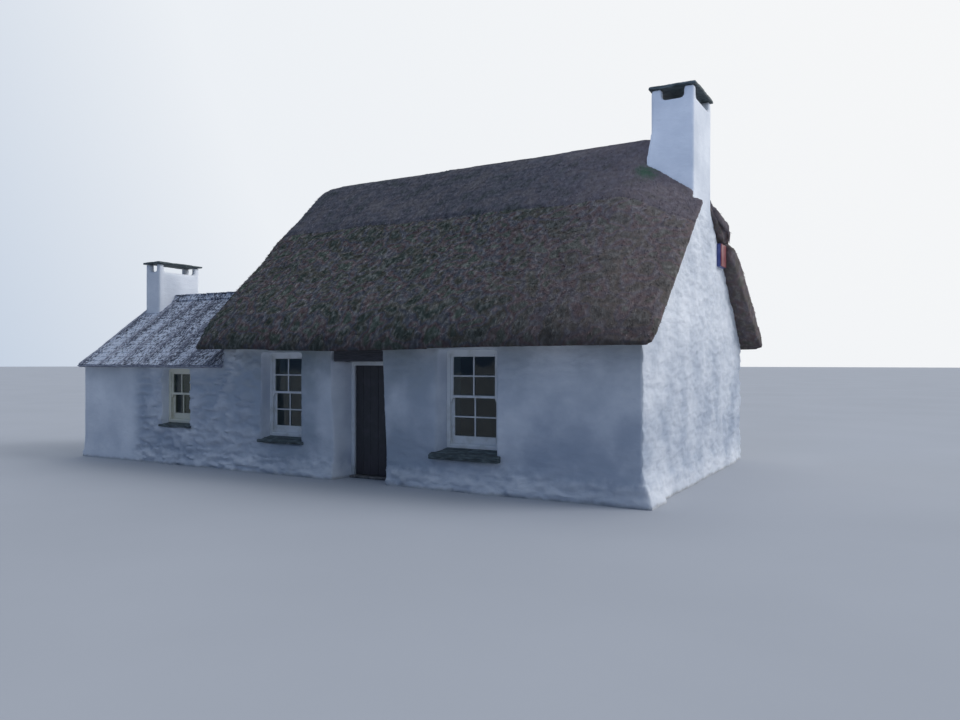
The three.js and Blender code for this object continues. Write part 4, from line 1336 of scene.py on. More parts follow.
@dataclass
class Masonry:
    """The limewashed walls and both stacks, meshed as one mass and then cut into pieces.

    Attributes:
        relief: Sizes of the rubble, the lumps, the swell and the grain.
        size: Length of a face of the mesh.
        kept_share: The share of faces that stays once the hidden ones are thinned.
        lean: How far the doorway's sides lean, in metres for each metre of height.
    """

    relief: Relief = field(default_factory=Relief)
    size: float = 0.03
    kept_share: float = 0.48
    lean: float = -0.05

    NODES = (
        "front_wall_left", "front_wall_over_door", "front_wall_right", "right_gable_wall", "rear_wall",
        "left_gable_wall", "right_chimney_stack", "annex_front_wall", "annex_rear_wall",
        "annex_gable_wall", "annex_chimney_stack",
    )
    SMOOTH_END = (-6.1, -5.75)
    TOUCHED = (
        "right_window_frame", "left_window_frame", "annex_window_frame", "rear_window_frame",
        "door_frame", "door_lintel", "alarm_box",
    )

    def build(self) -> None:
        """Builds every piece of masonry."""
        skin = Skin(self.NODES, self.size).wrap("masonry")
        skin = thin_hidden(skin, self.hidden(*points_of(skin)), self.kept_share, "masonry")
        keep_values(skin, **self.values(*points_of(skin)))
        skin = self.relief.apply(skin, "masonry", LIMEWASH)
        self.settle_down(skin)
        self.divide(skin)

    @staticmethod
    def hidden(places: np.ndarray, normals: np.ndarray) -> np.ndarray:
        """Finds the points that only show from inside the rooms or not at all.

        Args:
            places: The points.
            normals: Their normals.

        Returns:
            Whether each is hidden.
        """
        x, y, z = places.T
        room = (x > PARTY + 0.1) & (x < GABLE - 0.1) & (y > FRONT + 0.45) & (y < REAR - 0.45)
        annex = (x > ANNEX_END + 0.1) & (x < PARTY + 0.1) & (y > FRONT + 0.4) & (y < ANNEX_REAR - 0.1)
        return room | annex | (np.abs(normals[:, 2]) > 0.85) & (z < 0.02)

    def values(self, places: np.ndarray, normals: np.ndarray) -> dict[str, np.ndarray]:
        """Works out how far each point may move and how rough it is.

        Args:
            places: The points.
            normals: Their normals.

        Returns:
            The numbers, by name.
        """
        x, y, z = places.T
        front = step_up(-normals[:, 1], 0.4, 0.8)
        outside = np.maximum.reduce([
            front * (y < FRONT + 0.1),
            step_up(normals[:, 0], 0.4, 0.8) * (x > GABLE - 0.1),
            step_up(normals[:, 1], 0.4, 0.8) * ((y > REAR - 0.1) | (x < PARTY) & (y > ANNEX_REAR - 0.1)),
            step_up(-normals[:, 0], 0.4, 0.8) * (x < ANNEX_END + 0.1),
        ])
        stacks = np.maximum(step_up(z, 4.0, 4.4), step_up(z, 2.7, 2.9) * (x < -6))
        foot = step_up(-z, -0.55, -0.1)
        uneven = step_up(x, *self.SMOOTH_END)
        bare = uneven * (1 - 0.8 * step_up(x, -3.3, -2.3)) * (1 - 0.6 * step_up(z, 1.45, 1.7) * (x < PARTY))
        bare = np.clip(bare + 0.45 * foot * uneven, 0, 1)
        rubble = np.where(front > 0.5, bare, 0.3 + 0.3 * step_up(y, REAR - 0.3, REAR)) * (1 - stacks)
        gable = step_up(x, GABLE - 0.3, GABLE - 0.05)
        rough = np.where(front > 0.5, 0.1 + 0.3 * bare + 0.4 * foot * uneven, 0.35 + 0.65 * gable)
        rough *= 1 - stacks
        # Painted shade on the front wall: darker at its top under the eaves and on both sides of the door.
        door_side = np.exp(-(((x + 1.3) / 1.9) ** 2))
        grime = front * (y < FRONT + 0.3) * (0.5 * door_side + 0.5 * step_up(z, 1.1, 1.9)) * (1 - stacks)
        # Damp and painted shade: darker towards the ground.
        damp = step_up(-z, -3.0, -0.6) * (0.3 + 0.7 * uneven) * (1 - stacks)
        share = outside * 0.85 + 0.15
        still = clear_of(places, self.TOUCHED, 0.01, 0.12) * (1 - step_up(normals[:, 2], 0.5, 0.8))
        return {
            "rubble": rubble * share, "rough": rough * share, "grime": grime, "damp": damp,
            "grit": 0.2 + 0.8 * np.maximum(rubble, rough),
            "move": still * (0.3 + 0.7 * outside) * (1 - 0.75 * stacks) * (0.4 + 0.6 * uneven),
        }

    def settle_down(self, skin: bpy.types.Object) -> None:
        """Leans the sides of the doorway and lays the foot of the walls on the ground.

        Args:
            skin: The mass.
        """
        places, _ = points_of(skin)
        x, y, z = places.T
        near = sum(step_up(-np.abs(x - side), -0.35, 0.0) for side in DOORWAY)
        deep = 1 - step_up(y, FRONT, FRONT + 0.28)
        x += self.lean * (z - 0.85) * near * deep * (1 - step_up(z, 1.9, 2.2))
        z[z < 0.02] = 0.0
        move_points(skin, places)
        hold_in(skin, CAD_BOX)

    def divide(self, skin: bpy.types.Object) -> None:
        """Cuts the mass where its walls meet, out of sight, and settles each part.

        Args:
            skin: The mass. It is removed.
        """
        annex, main = cut_off(skin.data, 0, PARTY - 0.05)
        annex, annex_stack = cut_off(annex, 2, 2.65)
        front, rest = cut_off(main, 1, FRONT + WALL + 0.06)
        rest, rear = cut_off(rest, 1, REAR - WALL - 0.06)
        left, right = cut_off(rest, 0, 0.0)
        right, stack = cut_off(right, 2, 4.15)
        discard(skin)
        for name, mesh, nodes in (
            ("front_masonry", front, self.NODES[:3]), ("right_gable_masonry", right, self.NODES[3:4]),
            ("rear_masonry", rear, self.NODES[4:5]), ("left_gable_masonry", left, self.NODES[5:6]),
            ("right_stack_masonry", stack, self.NODES[6:7]), ("annex_masonry", annex, self.NODES[7:10]),
            ("annex_stack_masonry", annex_stack, self.NODES[10:]),
        ):
            settle(linked(name, mesh), LIMEWASH, stands_for=nodes)


@dataclass
class ThatchRoof:
    """Both coats of thatch, the capping along the ridge, and the straw ends on them.

    Attributes:
        size: Length of a face of the meshes.
        straw_length: Length of the straw end that stands out.
        straw_width: Width of a clump of straw ends, which stands for a few real stems.
        density: Straw ends on a square metre.
        edge_swell: How far a coat swells under the capping's edge.
    """

    size: float = 0.034
    straw_length: float = 0.05
    straw_width: float = 0.013
    density: float = 950.0
    edge_swell: float = 0.034
    sizes: dict[str, float] = field(default_factory=lambda: {
        "Hollow Size": 0.5, "Hollow Depth": 0.024, "Tuft Size": 0.085, "Tuft Depth": 0.03,
        "Course Bay": 0.5, "Course Wander": 0.14, "Course Rise": 0.09, "Course Depth": 0.01,
    })

    UNDER_PITCH = 0.872
    WALL_HEAD = 2.215

    def build(self) -> None:
        """Builds the coats, the capping and their straw."""
        for node, share in (("thatch_front", 0.5), ("thatch_rear", 0.42), ("thatch_ridge", 0.47)):
            capping = node == "thatch_ridge"
            finish = RIDGE_THATCH if capping else THATCH
            coat = self.coat(node, share, finish)
            self.straw(coat, node, finish, (0.05, 0.3) if capping else (0.12, 0.42))
            settle(coat, finish, stands_for=[node])

    def coat(self, node: str, share: float, finish: Finish) -> bpy.types.Object:
        """Meshes, thins and tufts one coat.

        Args:
            node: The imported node.
            share: The share of faces that stays.
            finish: Its finish.

        Returns:
            The coat, in place.
        """
        name = f"{node}_coat"
        if node == "thatch_ridge":
            skin = Skin([node], self.size, soften=6, sink=0.06).wrap(name)
        else:
            skin = Skin([node], self.size, soften=4).wrap(name)
            self.meet_capping(skin)
        skin = thin_hidden(skin, self.inner(*points_of(skin)), share, name)
        keep_values(skin, **self.values(node, *points_of(skin)))
        coat = LaidStrawTree(f"{name}_relief", {**self.sizes, "Material": finish.build()}).run(skin, name)
        hold_in(coat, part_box(node), 0.015)
        return coat

    def meet_capping(self, skin: bpy.types.Object) -> None:
        """Swells a coat under the capping's edge, so that the two run into each other.

        Args:
            skin: The coat's skin.
        """
        places, normals = points_of(skin)
        x, y = places[:, 0], np.abs(places[:, 1])
        swell = step_up(-y, -1.65, -1.36) * step_up(y, 1.08, 1.26) * (1 - 0.5 * step_up(x, 2.7, 3.5))
        swell *= self.edge_swell * step_up(normals[:, 2], 0.1, 0.5)
        move_points(skin, places + normals * swell[:, None])

    def inner(self, places: np.ndarray, normals: np.ndarray) -> np.ndarray:
        """Finds the points that only show from inside the house, or lie under the capping.

        Args:
            places: The points.
            normals: Their normals.

        Returns:
            Whether each is hidden.
        """
        x, y, z = places.T
        over_house = (np.abs(x) < GABLE - 0.03) & (np.abs(y) < REAR - 0.03)
        under = z - (self.WALL_HEAD + self.UNDER_PITCH * (REAR - np.abs(y)))
        return over_house & (normals[:, 2] < 0.2) & (under < 0.7)

    def values(self, node: str, places: np.ndarray, normals: np.ndarray) -> dict[str, np.ndarray]:
        """Works out where the straw is tufted, where it lies in courses and where it stands out.

        Args:
            node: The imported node.
            places: The points.
            normals: Their normals.

        Returns:
            The numbers, by name.
        """
        x, y, z = places.T
        outer = step_up(normals[:, 2], 0.1, 0.5)
        nose = (np.abs(y) > REAR + 0.05) | (x < PARTY - 0.2) | (x > GABLE + 0.1)
        shown = np.clip(outer + 0.6 * nose, 0, 1)
        new_end = step_up(x, 2.3, 3.0)
        if node == "thatch_ridge":
            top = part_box(node)[1].z
            coursed, tufted = 0.4 * np.ones(len(x)), 0.35
            straws = 0.3 * shown * (1 - step_up(z, top - 0.3, top - 0.12))
        else:
            coursed, tufted = 0.1 + 0.2 * new_end, 1 - 0.5 * new_end
            straws = shown * (1 - 0.6 * new_end) * step_up(np.abs(y), 1.05, 1.2)
        straws = straws * step_up(normals[:, 2], -0.1, 0.2)
        stack = clear_of(places, ["right_chimney_stack"], 0.02, 0.1)
        return {
            "move": shown * (0.3 + 0.7 * stack), "tufted": tufted * shown, "coursed": coursed * outer,
            "straws": straws * stack,
        }

    def straw(self, coat: bpy.types.Object, node: str, finish: Finish, pose: tuple[float, float]) -> None:
        """Stands straw ends on a coat.

        Args:
            coat: The finished coat, which stays.
            node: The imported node.
            finish: Its finish.
            pose: How far a straw lifts off the coat and how far it strays.
        """
        bm = bmesh.new()
        half = self.straw_width / 2
        foot = [bm.verts.new((math.cos(a) * half, math.sin(a) * half * 0.6, -0.006)) for a in (0.0, 2.1, 4.2)]
        tip = bm.verts.new((0.0, 0.0, self.straw_length))
        bm.faces.new(foot)
        for first, second in zip(foot, foot[1:] + foot[:1]):
            bm.faces.new((first, second, tip))
        blade = from_bmesh(bm, "straw_end")
        sizes = {
            "Straw": blade, "Density": self.density, "Lift": pose[0], "Stray": pose[1], "Seed": 11,
            "Material": finish.build(),
        }
        name = f"{node}_straw"
        made = StrawEndsTree(f"{name}_tree", sizes).run(linked(f"{name}_host", coat.data.copy()), name)
        discard(blade)
        hold_in(made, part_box(node), 0.015, 0.004)
        settle(made, finish)


@dataclass
class AnnexRoof:
    """The annex's slates on their bedding, the washed ribs of mortar and the ridge slates.

    Attributes:
        slate: Width, length and thickness of a slate.
        gauge: How much of a slate's length shows.
        bed_drop: How far the bedding lies under the finished slope.
        rib: Radius of a rib of mortar.
        soffit: How far the bed's lower edge stands back at the eave.
    """

    slate: Triple = (0.19, 0.27, 0.008)
    gauge: float = 0.13
    bed_drop: float = 0.036
    rib: float = 0.024
    soffit: float = 0.06

    LOW_X = -7.545
    HIGH_X = -3.675
    EAVE_TOP = 1.78
    REACH = 1.94

    def build(self) -> None:
        """Builds both slopes and the ridge."""
        for node, side in (("annex_roof_front", -1), ("annex_roof_rear", 1)):
            along = Vector((0, -side * math.cos(ANNEX_PITCH), math.sin(ANNEX_PITCH)))
            out = Vector((0, side * math.sin(ANNEX_PITCH), math.cos(ANNEX_PITCH)))
            eave = ANNEX_RIDGE + side * self.REACH
            self.bed(node, eave)
            self.slates(node, side, Vector((0, eave, self.EAVE_TOP)), along, out)
            self.ribs(node, Vector((0, eave, self.EAVE_TOP)), along, out)
        self.ridge()

    def bed(self, node: str, eave: float) -> None:
        """Makes the mortar bed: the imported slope, lowered under its slates.

        Args:
            node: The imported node.
            eave: Y of its eave.
        """
        bed = Skin.merged(node)
        places, _ = points_of(bed)
        top = self.EAVE_TOP + 0.737 * np.abs(places[:, 1] - eave)
        places[:, 2] -= np.where(places[:, 2] > top - 0.02, self.bed_drop, 0)
        lip = (places[:, 2] < self.EAVE_TOP - self.bed_drop - 0.01) & (np.abs(places[:, 1] - eave) < 0.1)
        places[:, 1] += np.where(lip, np.sign(ANNEX_RIDGE - eave) * self.soffit, 0)
        places[:, 2] += np.where(lip, self.soffit / 2, 0)
        move_points(bed, places)
        bed.name = bed.data.name = f"{node}_bed"
        settle(bed, MORTAR, stands_for=[node])

    def slates(self, node: str, side: int, eave: Vector, along: Vector, out: Vector) -> None:
        """Lays the slates from the eave to the ridge.

        Args:
            node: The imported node.
            side: -1 for the front slope and 1 for the rear one.
            eave: A point on the eave, at X = 0.
            along: The way up the slope.
            out: The way out of the slope.
        """
        width, length, thick = self.slate
        across = round((self.HIGH_X - self.LOW_X) / width)
        rows = math.floor((self.REACH / math.cos(ANNEX_PITCH) - 0.03) / self.gauge)
        shape = flat_shape(f"{node}_slate", width * 1.02, length, thick, 0.004, steps=3, ragged=0.007)
        corner = eave + along * 0.5 * (length - self.gauge) - out * 0.02
        corner.x = self.LOW_X if side < 0 else self.HIGH_X
        laid = Courses(
            shape, across, rows, (self.HIGH_X - self.LOW_X) / across, self.gauge, corner,
            pitch=ANNEX_PITCH, facing=0.0 if side < 0 else math.pi, tilt=-math.asin(1.6 * thick / length),
            turn=(0.01, 0.01, 0.03), scatter=(0.01, 0.012, 0.0015), smallest=(0.85, 0.9, 0.75),
            clear=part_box("annex_chimney_stack"), seed=21 + side,
        ).lay(f"{node}_slates", ROOF_SLATE)
        low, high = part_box("annex_roof_front")[0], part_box("annex_roof_rear")[1]
        hold_in(laid, ((low.x + 0.002, low.y + 0.002, 0), (self.HIGH_X + 0.05, high.y - 0.002, 6)))
        settle(laid, ROOF_SLATE)

    def ribs(self, node: str, eave: Vector, along: Vector, out: Vector) -> None:
        """Lays the ribs of washed mortar that run down the slope.

        Args:
            node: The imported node.
            eave: A point on the eave, at X = 0.
            along: The way up the slope.
            out: The way out of the slope.
        """
        apart = ROOF_SLATE.lines
        foot = eave + along * 0.02 - out * 0.8 * self.rib
        foot.x = math.ceil(self.LOW_X / apart) * apart + 0.05
        sizes = {
            "Count": 7, "Foot": foot, "Apart": Vector((apart, 0, 0)), "Run": along * 2.3, "Bay": 0.6,
            "Wander": 0.22, "Lump": 0.09, "Radius": self.rib, "Material": MORTAR.build(),
        }
        host = linked(f"{node}_rib_host", bpy.data.meshes.new(node))
        ribs = DownSlopeTree(f"{node}_rib_tree", sizes).run(host, f"{node}_ribs")
        hold_in(ribs, CAD_BOX)
        settle(ribs, MORTAR)

    @staticmethod
    def ridge() -> None:
        """Beds the sawn slate pieces on both sides of the ridge in mortar."""
        cover = Skin(["annex_ridge"], 0.02).wrap("annex_ridge_cover")
        places, _ = points_of(cover)
        low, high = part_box("annex_ridge")
        half, bedded = (high.y - low.y) / 2, 0.024
        places[:, 2] -= bedded * step_up(np.abs(places[:, 1] - ANNEX_RIDGE), 0.3 * half, 0.9 * half)
        move_points(cover, places)
        keep_values(cover, move=1.0, rubble=1.0, rough=1.0)
        relief = Relief(0.4, 0.3, 0.01, 0.08, 0.01, 0.5, 0.01, 0.05, 0.008, 8.0)
        made = relief.apply(cover, "annex_ridge_cover", ROOF_SLATE)
        hold_in(made, (low - Vector((0, 0, bedded)), high), 0.006)
        settle(made, ROOF_SLATE, stands_for=["annex_ridge"])


@dataclass
class SashWindow:
    """One window: its box frame, its sashes with putty slopes, and their panes.

    Attributes:
        name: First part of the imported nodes' names.
        rows: Rows of panes in a sash.
        finish: The paint.
        outward: -1 where the window faces the front and 1 where it faces the rear.
        horn: Length of the horns under the upper sash.
    """

    name: str
    rows: int
    finish: Finish
    outward: int = -1
    horn: float = 0.06

    STILE = 0.048
    BAR = 0.022
    SLOPE = 0.009
    THICK = 0.035
    REBATE = 0.02
    CHAMFER = 0.002

    def build(self) -> None:
        """Builds the frame, both sashes and their glass."""
        self.frame_piece()
        for part, bottom, top in (("upper", 0.036, self.STILE), ("lower", 0.11, 0.036)):
            node = f"{self.name}_{part}_sash"
            low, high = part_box(node)
            bm = bmesh.new()
            self.sash(bm, low, high, bottom, top)
            if part == "upper":
                self.horns(bm, low, high)
            settle(from_bmesh(bm, f"{node}_joinery"), self.finish, stands_for=[node])
            self.panes(f"{self.name}_{part}_glass", low, high, bottom, top)

    def depth(self, low: Vector, high: Vector, into: float) -> float:
        """Y of a plane that lies this far behind the outer face."""
        return low.y + into if self.outward < 0 else high.y - into

    def sash(self, bm: bmesh.types.BMesh, low: Vector, high: Vector, bottom: float, top: float) -> None:
        """Adds the stiles, the rails and the bars of one sash.

        Args:
            bm: Takes the joinery.
            low: Lowest corner of the sash.
            high: Highest corner of the sash.
            bottom: Height of its bottom rail.
            top: Height of its top rail.
        """
        y = partial(self.depth, low, high)
        slope, sight, back = self.SLOPE, self.REBATE - 0.0005, self.THICK
        for x, way in ((low.x, 1), (high.x, -1)):
            inner = x + way * self.STILE
            outline = ((x, 0), (inner - way * slope, 0), (inner, slope), (inner, back), (x, back))
            add_prism(bm, [(u, y(v), low.z) for u, v in outline], (0, 0, high.z - low.z))
        x0, x1 = low.x + self.STILE, high.x - self.STILE
        for z, rail, way in ((low.z, bottom, 1), (high.z, top, -1)):
            inner = z + way * rail
            outline = ((z, 0.001), (inner - way * slope, 0.001), (inner, slope), (inner, back), (z, back))
            add_prism(bm, [(x0, y(v), u) for u, v in outline], (x1 - x0, 0, 0))
        z0, z1 = low.z + bottom, high.z - top
        half, face, middle = self.BAR / 2, self.BAR / 2 - 0.006, (x0 + x1) / 2
        bar = ((-half, sight), (-half, slope), (-face, 0.002), (face, 0.002), (half, slope), (half, sight))
        add_prism(bm, [(middle + u, y(v), z0) for u, v in bar], (0, 0, z1 - z0))
        pane = (z1 - z0 - self.BAR * (self.rows - 1)) / self.rows
        for row in range(1, self.rows):
            z = z0 + row * (pane + self.BAR) - half
            add_prism(bm, [(x0, y(v + 0.0005), z + u) for u, v in bar], (x1 - x0, 0, 0))

    def horns(self, bm: bmesh.types.BMesh, low: Vector, high: Vector) -> None:
        """Adds the shaped horns on which the upper sash's stiles end.

        Args:
            bm: Takes the horns.
            low: Lowest corner of the sash.
            high: Highest corner of the sash.
        """
        y = self.depth(low, high, 0.002)
        shape = ((0, 0), (self.STILE, 0), (0.036, 0.4), (0.02, 1), (0, 1))
        for x, way in ((low.x, 1), (high.x, -1)):
            outline = [(x + way * u, y, low.z - v * self.horn) for u, v in shape]
            add_prism(bm, outline, (0, -self.outward * (self.THICK - 0.004), 0))

    def panes(self, node: str, low: Vector, high: Vector, bottom: float, top: float) -> None:
        """Sets one pane in each opening, each turned a little so that it catches its own light.

        Args:
            node: First part of the piece's name.
            low: Lowest corner of the sash.
            high: Highest corner of the sash.
            bottom: Height of its bottom rail.
            top: Height of its top rail.
        """
        draw = np.random.default_rng(sum(map(ord, node)))
        x0, x1, z0, z1 = low.x + self.STILE, high.x - self.STILE, low.z + bottom, high.z - top
        wide = (x1 - x0 - self.BAR) / 2
        tall = (z1 - z0 - self.BAR * (self.rows - 1)) / self.rows
        room = Vector((wide / 2 + 0.004, 0.0015, tall / 2 + 0.004))
        bm = bmesh.new()
        for column, row in np.ndindex(2, self.rows):
            middle = Vector((
                x0 + column * (wide + self.BAR) + wide / 2, self.depth(low, high, self.REBATE + 0.0045),
                z0 + row * (tall + self.BAR) + tall / 2,
            ))
            before = len(bm.verts)
            add_box(bm, middle - room, middle + room)
            turn = Matrix.Rotation(draw.uniform(-0.008, 0.008), 4, "X")
            turn = turn @ Matrix.Rotation(draw.uniform(-0.008, 0.008), 4, "Z")
            place = Matrix.Translation(middle) @ turn @ Matrix.Translation(-middle)
            bmesh.ops.transform(bm, matrix=place, verts=bm.verts[before:])
        settle(from_bmesh(bm, f"{node}_panes"), GLASS, stands_for=[node])

    def frame_piece(self) -> None:
        """Builds the box frame with its sloped cill and its beads."""
        node = f"{self.name}_frame"
        low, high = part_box(node)
        upper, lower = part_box(f"{self.name}_upper_sash"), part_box(f"{self.name}_lower_sash")
        x0, x1 = upper[0].x - 0.0003, upper[1].x + 0.0003
        z0, z1 = lower[0].z - 0.0003, upper[1].z + 0.0003
        bm = bmesh.new()
        for first, second in ((low.x, x0), (x1, high.x)):
            add_box(bm, (first, low.y, low.z), (second, high.y, high.z), self.CHAMFER)
        add_box(bm, (x0, low.y + 0.001, z1), (x1, high.y, high.z), self.CHAMFER)
        face, nose = low.y + 0.001, z0 - 0.02
        cill = ((face, low.z), (face, nose), (upper[0].y, z0), (high.y, z0), (high.y, low.z))
        add_prism(bm, [(x0, u, v) for u, v in cill], (x1 - x0, 0, 0))
        beads = (
            (low.y + 0.001, upper[0].y - 0.0005, 0.01), (upper[1].y + 0.0005, lower[0].y - 0.0005, 0.012),
            (lower[1].y + 0.0005, lower[1].y + 0.014, 0.015),
        )
        for y0, y1, reach in beads:
            for first, second in ((x0, x0 + reach), (x1 - reach, x1)):
                add_box(bm, (first, y0, z0), (second, y1, z1), 0.001)
            add_box(bm, (x0 + reach, y0, z1 - reach), (x1 - reach, y1, z1), 0.001)
        settle(from_bmesh(bm, f"{node}_joinery"), self.finish, stands_for=[node])


class FixedLight(SashWindow):
    """The small fixed light in the rear wall, which is one glazed frame."""

    def build(self) -> None:
        """Builds the frame and its panes."""
        node = f"{self.name}_frame"
        low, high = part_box(node)
        rail = 0.05 + self.STILE
        bm = bmesh.new()
        self.sash(bm, low, high, rail, rail)
        settle(from_bmesh(bm, f"{node}_joinery"), self.finish, stands_for=[node])
        self.panes(f"{self.name}_glass", low, high, rail, rail)


@dataclass
class WornSlab:
    """A slab of stone, slate or timber with chipped arrises and a worn face.

    Attributes:
        node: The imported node.
        finish: What it is made of.
        relief: Sizes of its wear.
        size: Length of a face of its mesh.
    """

    node: str
    finish: Finish
    relief: Relief
    size: float = 0.014

    def build(self) -> None:
        """Builds the slab."""
        skin = Skin([self.node], self.size, soften=1).wrap(f"{self.node}_worn")
        keep_values(skin, move=1.0, rubble=1.0, rough=1.0)
        made = self.relief.apply(skin, f"{self.node}_worn", self.finish)
        hold_in(made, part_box(self.node), 0.002)
        settle(made, self.finish, stands_for=[self.node])


@dataclass
class Doorway:
    """The boarded door with its straps and latch, and its frame with the pintles.

    Attributes:
        boards: How many boards the leaf has.
        board_thick: Thickness of a board.
        ledge_tall: Height of a ledge on the back.
    """

    boards: int = 5
    board_thick: float = 0.026
    ledge_tall: float = 0.13

    PIN = 0.007
    EYE = 0.014
    HEIGHTS = (0.28, 1.45)
    TALL = 0.05
    PIVOT = (-1.145, -2.505)
    STRAP = ((0.002, 0.004), (0.36, 0.012), (0.42, 0.025), (0.36, 0.038), (0.002, 0.046))
    BOW = (
        (0.0, 0.075), (-0.018, 0.066), (-0.03, 0.045), (-0.034, 0.0), (-0.03, -0.045), (-0.018, -0.066),
        (0.0, -0.075),
    )

    def build(self) -> None:
        """Builds the leaf, its ironwork and the frame."""
        low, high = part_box("front_door")
        self.leaf(low, high)
        self.straps(low.y + 0.04)
        self.latch(high.x - 0.075, low.y)
        self.frame_piece()

    def leaf(self, low: Vector, high: Vector) -> None:
        """Stands the boards side by side and nails the ledges behind them.

        Args:
            low: Lowest corner of the leaf.
            high: Highest corner of the leaf.
        """
        left, front = self.PIVOT[0], low.y
        width, height = (high.x - left) / self.boards, high.z - low.z
        shape = flat_shape("door_board", width - 0.0015, height, self.board_thick, 0.004)
        boards = Courses(
            shape, self.boards, 1, width, height, (left, front, low.z), pitch=math.pi / 2,
            scatter=(0.0, 0.0, 0.0006), seed=4,
        ).lay("door_boards", DOOR_PAINT)
        settle(boards, DOOR_PAINT, Body.DOOR, ["front_door"])
        bm = bmesh.new()
        for z in (*self.HEIGHTS, 0.86):
            corner = (high.x - 0.012, front + 0.04, z - 0.04 + self.ledge_tall)
            add_box(bm, (left + 0.012, front + self.board_thick - 0.001, z - 0.04), corner, 0.004)
        settle(from_bmesh(bm, "door_ledges"), DOOR_PAINT, Body.DOOR)

    def straps(self, back: float) -> None:
        """Forges the strap hinges on the back of the leaf, with their eyes and nail heads.

        Args:
            back: Y of the ledges' back.
        """
        pivot_x, pivot_y = self.PIVOT
        bm = bmesh.new()
        for z in self.HEIGHTS:
            add_prism(bm, [(pivot_x + u, back - 0.001, z + v) for u, v in self.STRAP], (0, 0.008, 0))
            corner = (pivot_x + 0.025, pivot_y, z + self.TALL)
            add_box(bm, (pivot_x + 0.002, back - 0.001, z), corner, 0.001)
            self.tube(bm, z, z + self.TALL, self.PIN + 0.0004, self.EYE)
            for reach in (0.07, 0.19, 0.31):
                place = Matrix.Translation((pivot_x + reach, back + 0.007, z + 0.025))
                bmesh.ops.create_icosphere(bm, subdivisions=1, radius=0.007, matrix=place)
        settle(from_bmesh(bm, "door_straps", 35), IRON, Body.DOOR)

    def tube(self, bm: bmesh.types.BMesh, z0: float, z1: float, inner: float, outer: float) -> None:
        """Adds a closed ring round the pivot.

        Args:
            bm: Takes the ring.
            z0: Its bottom.
            z1: Its top.
            inner: Its inner radius.
            outer: Its outer radius.
        """
        turns = 20
        pivot_x, pivot_y = self.PIVOT
        rings = []
        for radius, z in ((inner, z0), (outer, z0), (outer, z1), (inner, z1)):
            angles = (2 * math.pi * i / turns for i in range(turns))
            rings.append([
                bm.verts.new((pivot_x + radius * math.cos(a), pivot_y + radius * math.sin(a), z))
                for a in angles
            ])
        for first, second in zip(rings, rings[1:] + rings[:1]):
            for i, j in zip(range(turns), [*range(1, turns), 0]):
                bm.faces.new((first[i], first[j], second[j], second[i]))

    def latch(self, x: float, y: float) -> None:
        """Puts a thumb latch with its grip on the front of the leaf.

        Args:
            x: Middle of the latch.
            y: The leaf's front.
        """
        z = 0.98
        bm = bmesh.new()
        for dz in (0.075, -0.075):
            low, high = (x - 0.016, y - 0.004, z + dz - 0.022), (x + 0.016, y + 0.0005, z + dz + 0.022)
            add_box(bm, low, high, 0.0015)
        bow = [Vector((x, y + v, z + w)) for v, w in self.BOW]
        for first, second in zip(bow, bow[1:]):
            turn = (second - first).to_track_quat("Z", "X").to_matrix().to_4x4()
            bmesh.ops.create_cone(
                bm, cap_ends=True, segments=10, radius1=0.0055, radius2=0.0055,
                depth=(second - first).length + 0.004, matrix=Matrix.Translation((first + second) / 2) @ turn,
            )
        add_box(bm, (x - 0.011, y - 0.036, z + 0.083), (x + 0.011, y + 0.0005, z + 0.09), 0.002)
        settle(from_bmesh(bm, "door_latch", 40), IRON, Body.DOOR)

    def frame_piece(self) -> None:
        """Builds the jambs and the head with their stops, and the pintles."""
        low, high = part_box("door_frame")
        y0, stop, y1 = low.y, low.y + 0.045, low.y + 0.1
        bm = bmesh.new()
        for x, way in ((low.x, 1), (high.x, -1)):
            outline = (
                (0, y0), (0.054, y0), (0.06, y0 + 0.006), (0.06, stop), (0.045, stop), (0.045, y1), (0, y1),
            )
            add_prism(bm, [(x + way * u, v, low.z) for u, v in outline], (0, 0, high.z - low.z))
        outline = (
            (y0 + 0.0005, 0), (y0 + 0.0005, 0.054), (y0 + 0.0065, 0.06), (stop, 0.06), (stop, 0.045),
            (y1, 0.045), (y1, 0),
        )
        add_prism(bm, [(low.x + 0.045, u, high.z - v) for u, v in outline], (high.x - low.x - 0.09, 0, 0))
        settle(from_bmesh(bm, "door_frame_joinery"), WINDOW_PAINT, stands_for=["door_frame"])
        bm = bmesh.new()
        for z in self.HEIGHTS:
            corner = (self.PIVOT[0] + self.PIN, self.PIVOT[1] + self.PIN, z - 0.0006)
            add_box(bm, (self.PIVOT[0] - 0.03, y1 - 0.001, z - 0.03), corner, 0.001)
            bmesh.ops.create_cone(
                bm, cap_ends=True, segments=20, radius1=self.PIN, radius2=self.PIN, depth=0.072,
                matrix=Matrix.Translation((*self.PIVOT, z + 0.0209)),
            )
        settle(from_bmesh(bm, "door_pintles", 35), IRON)


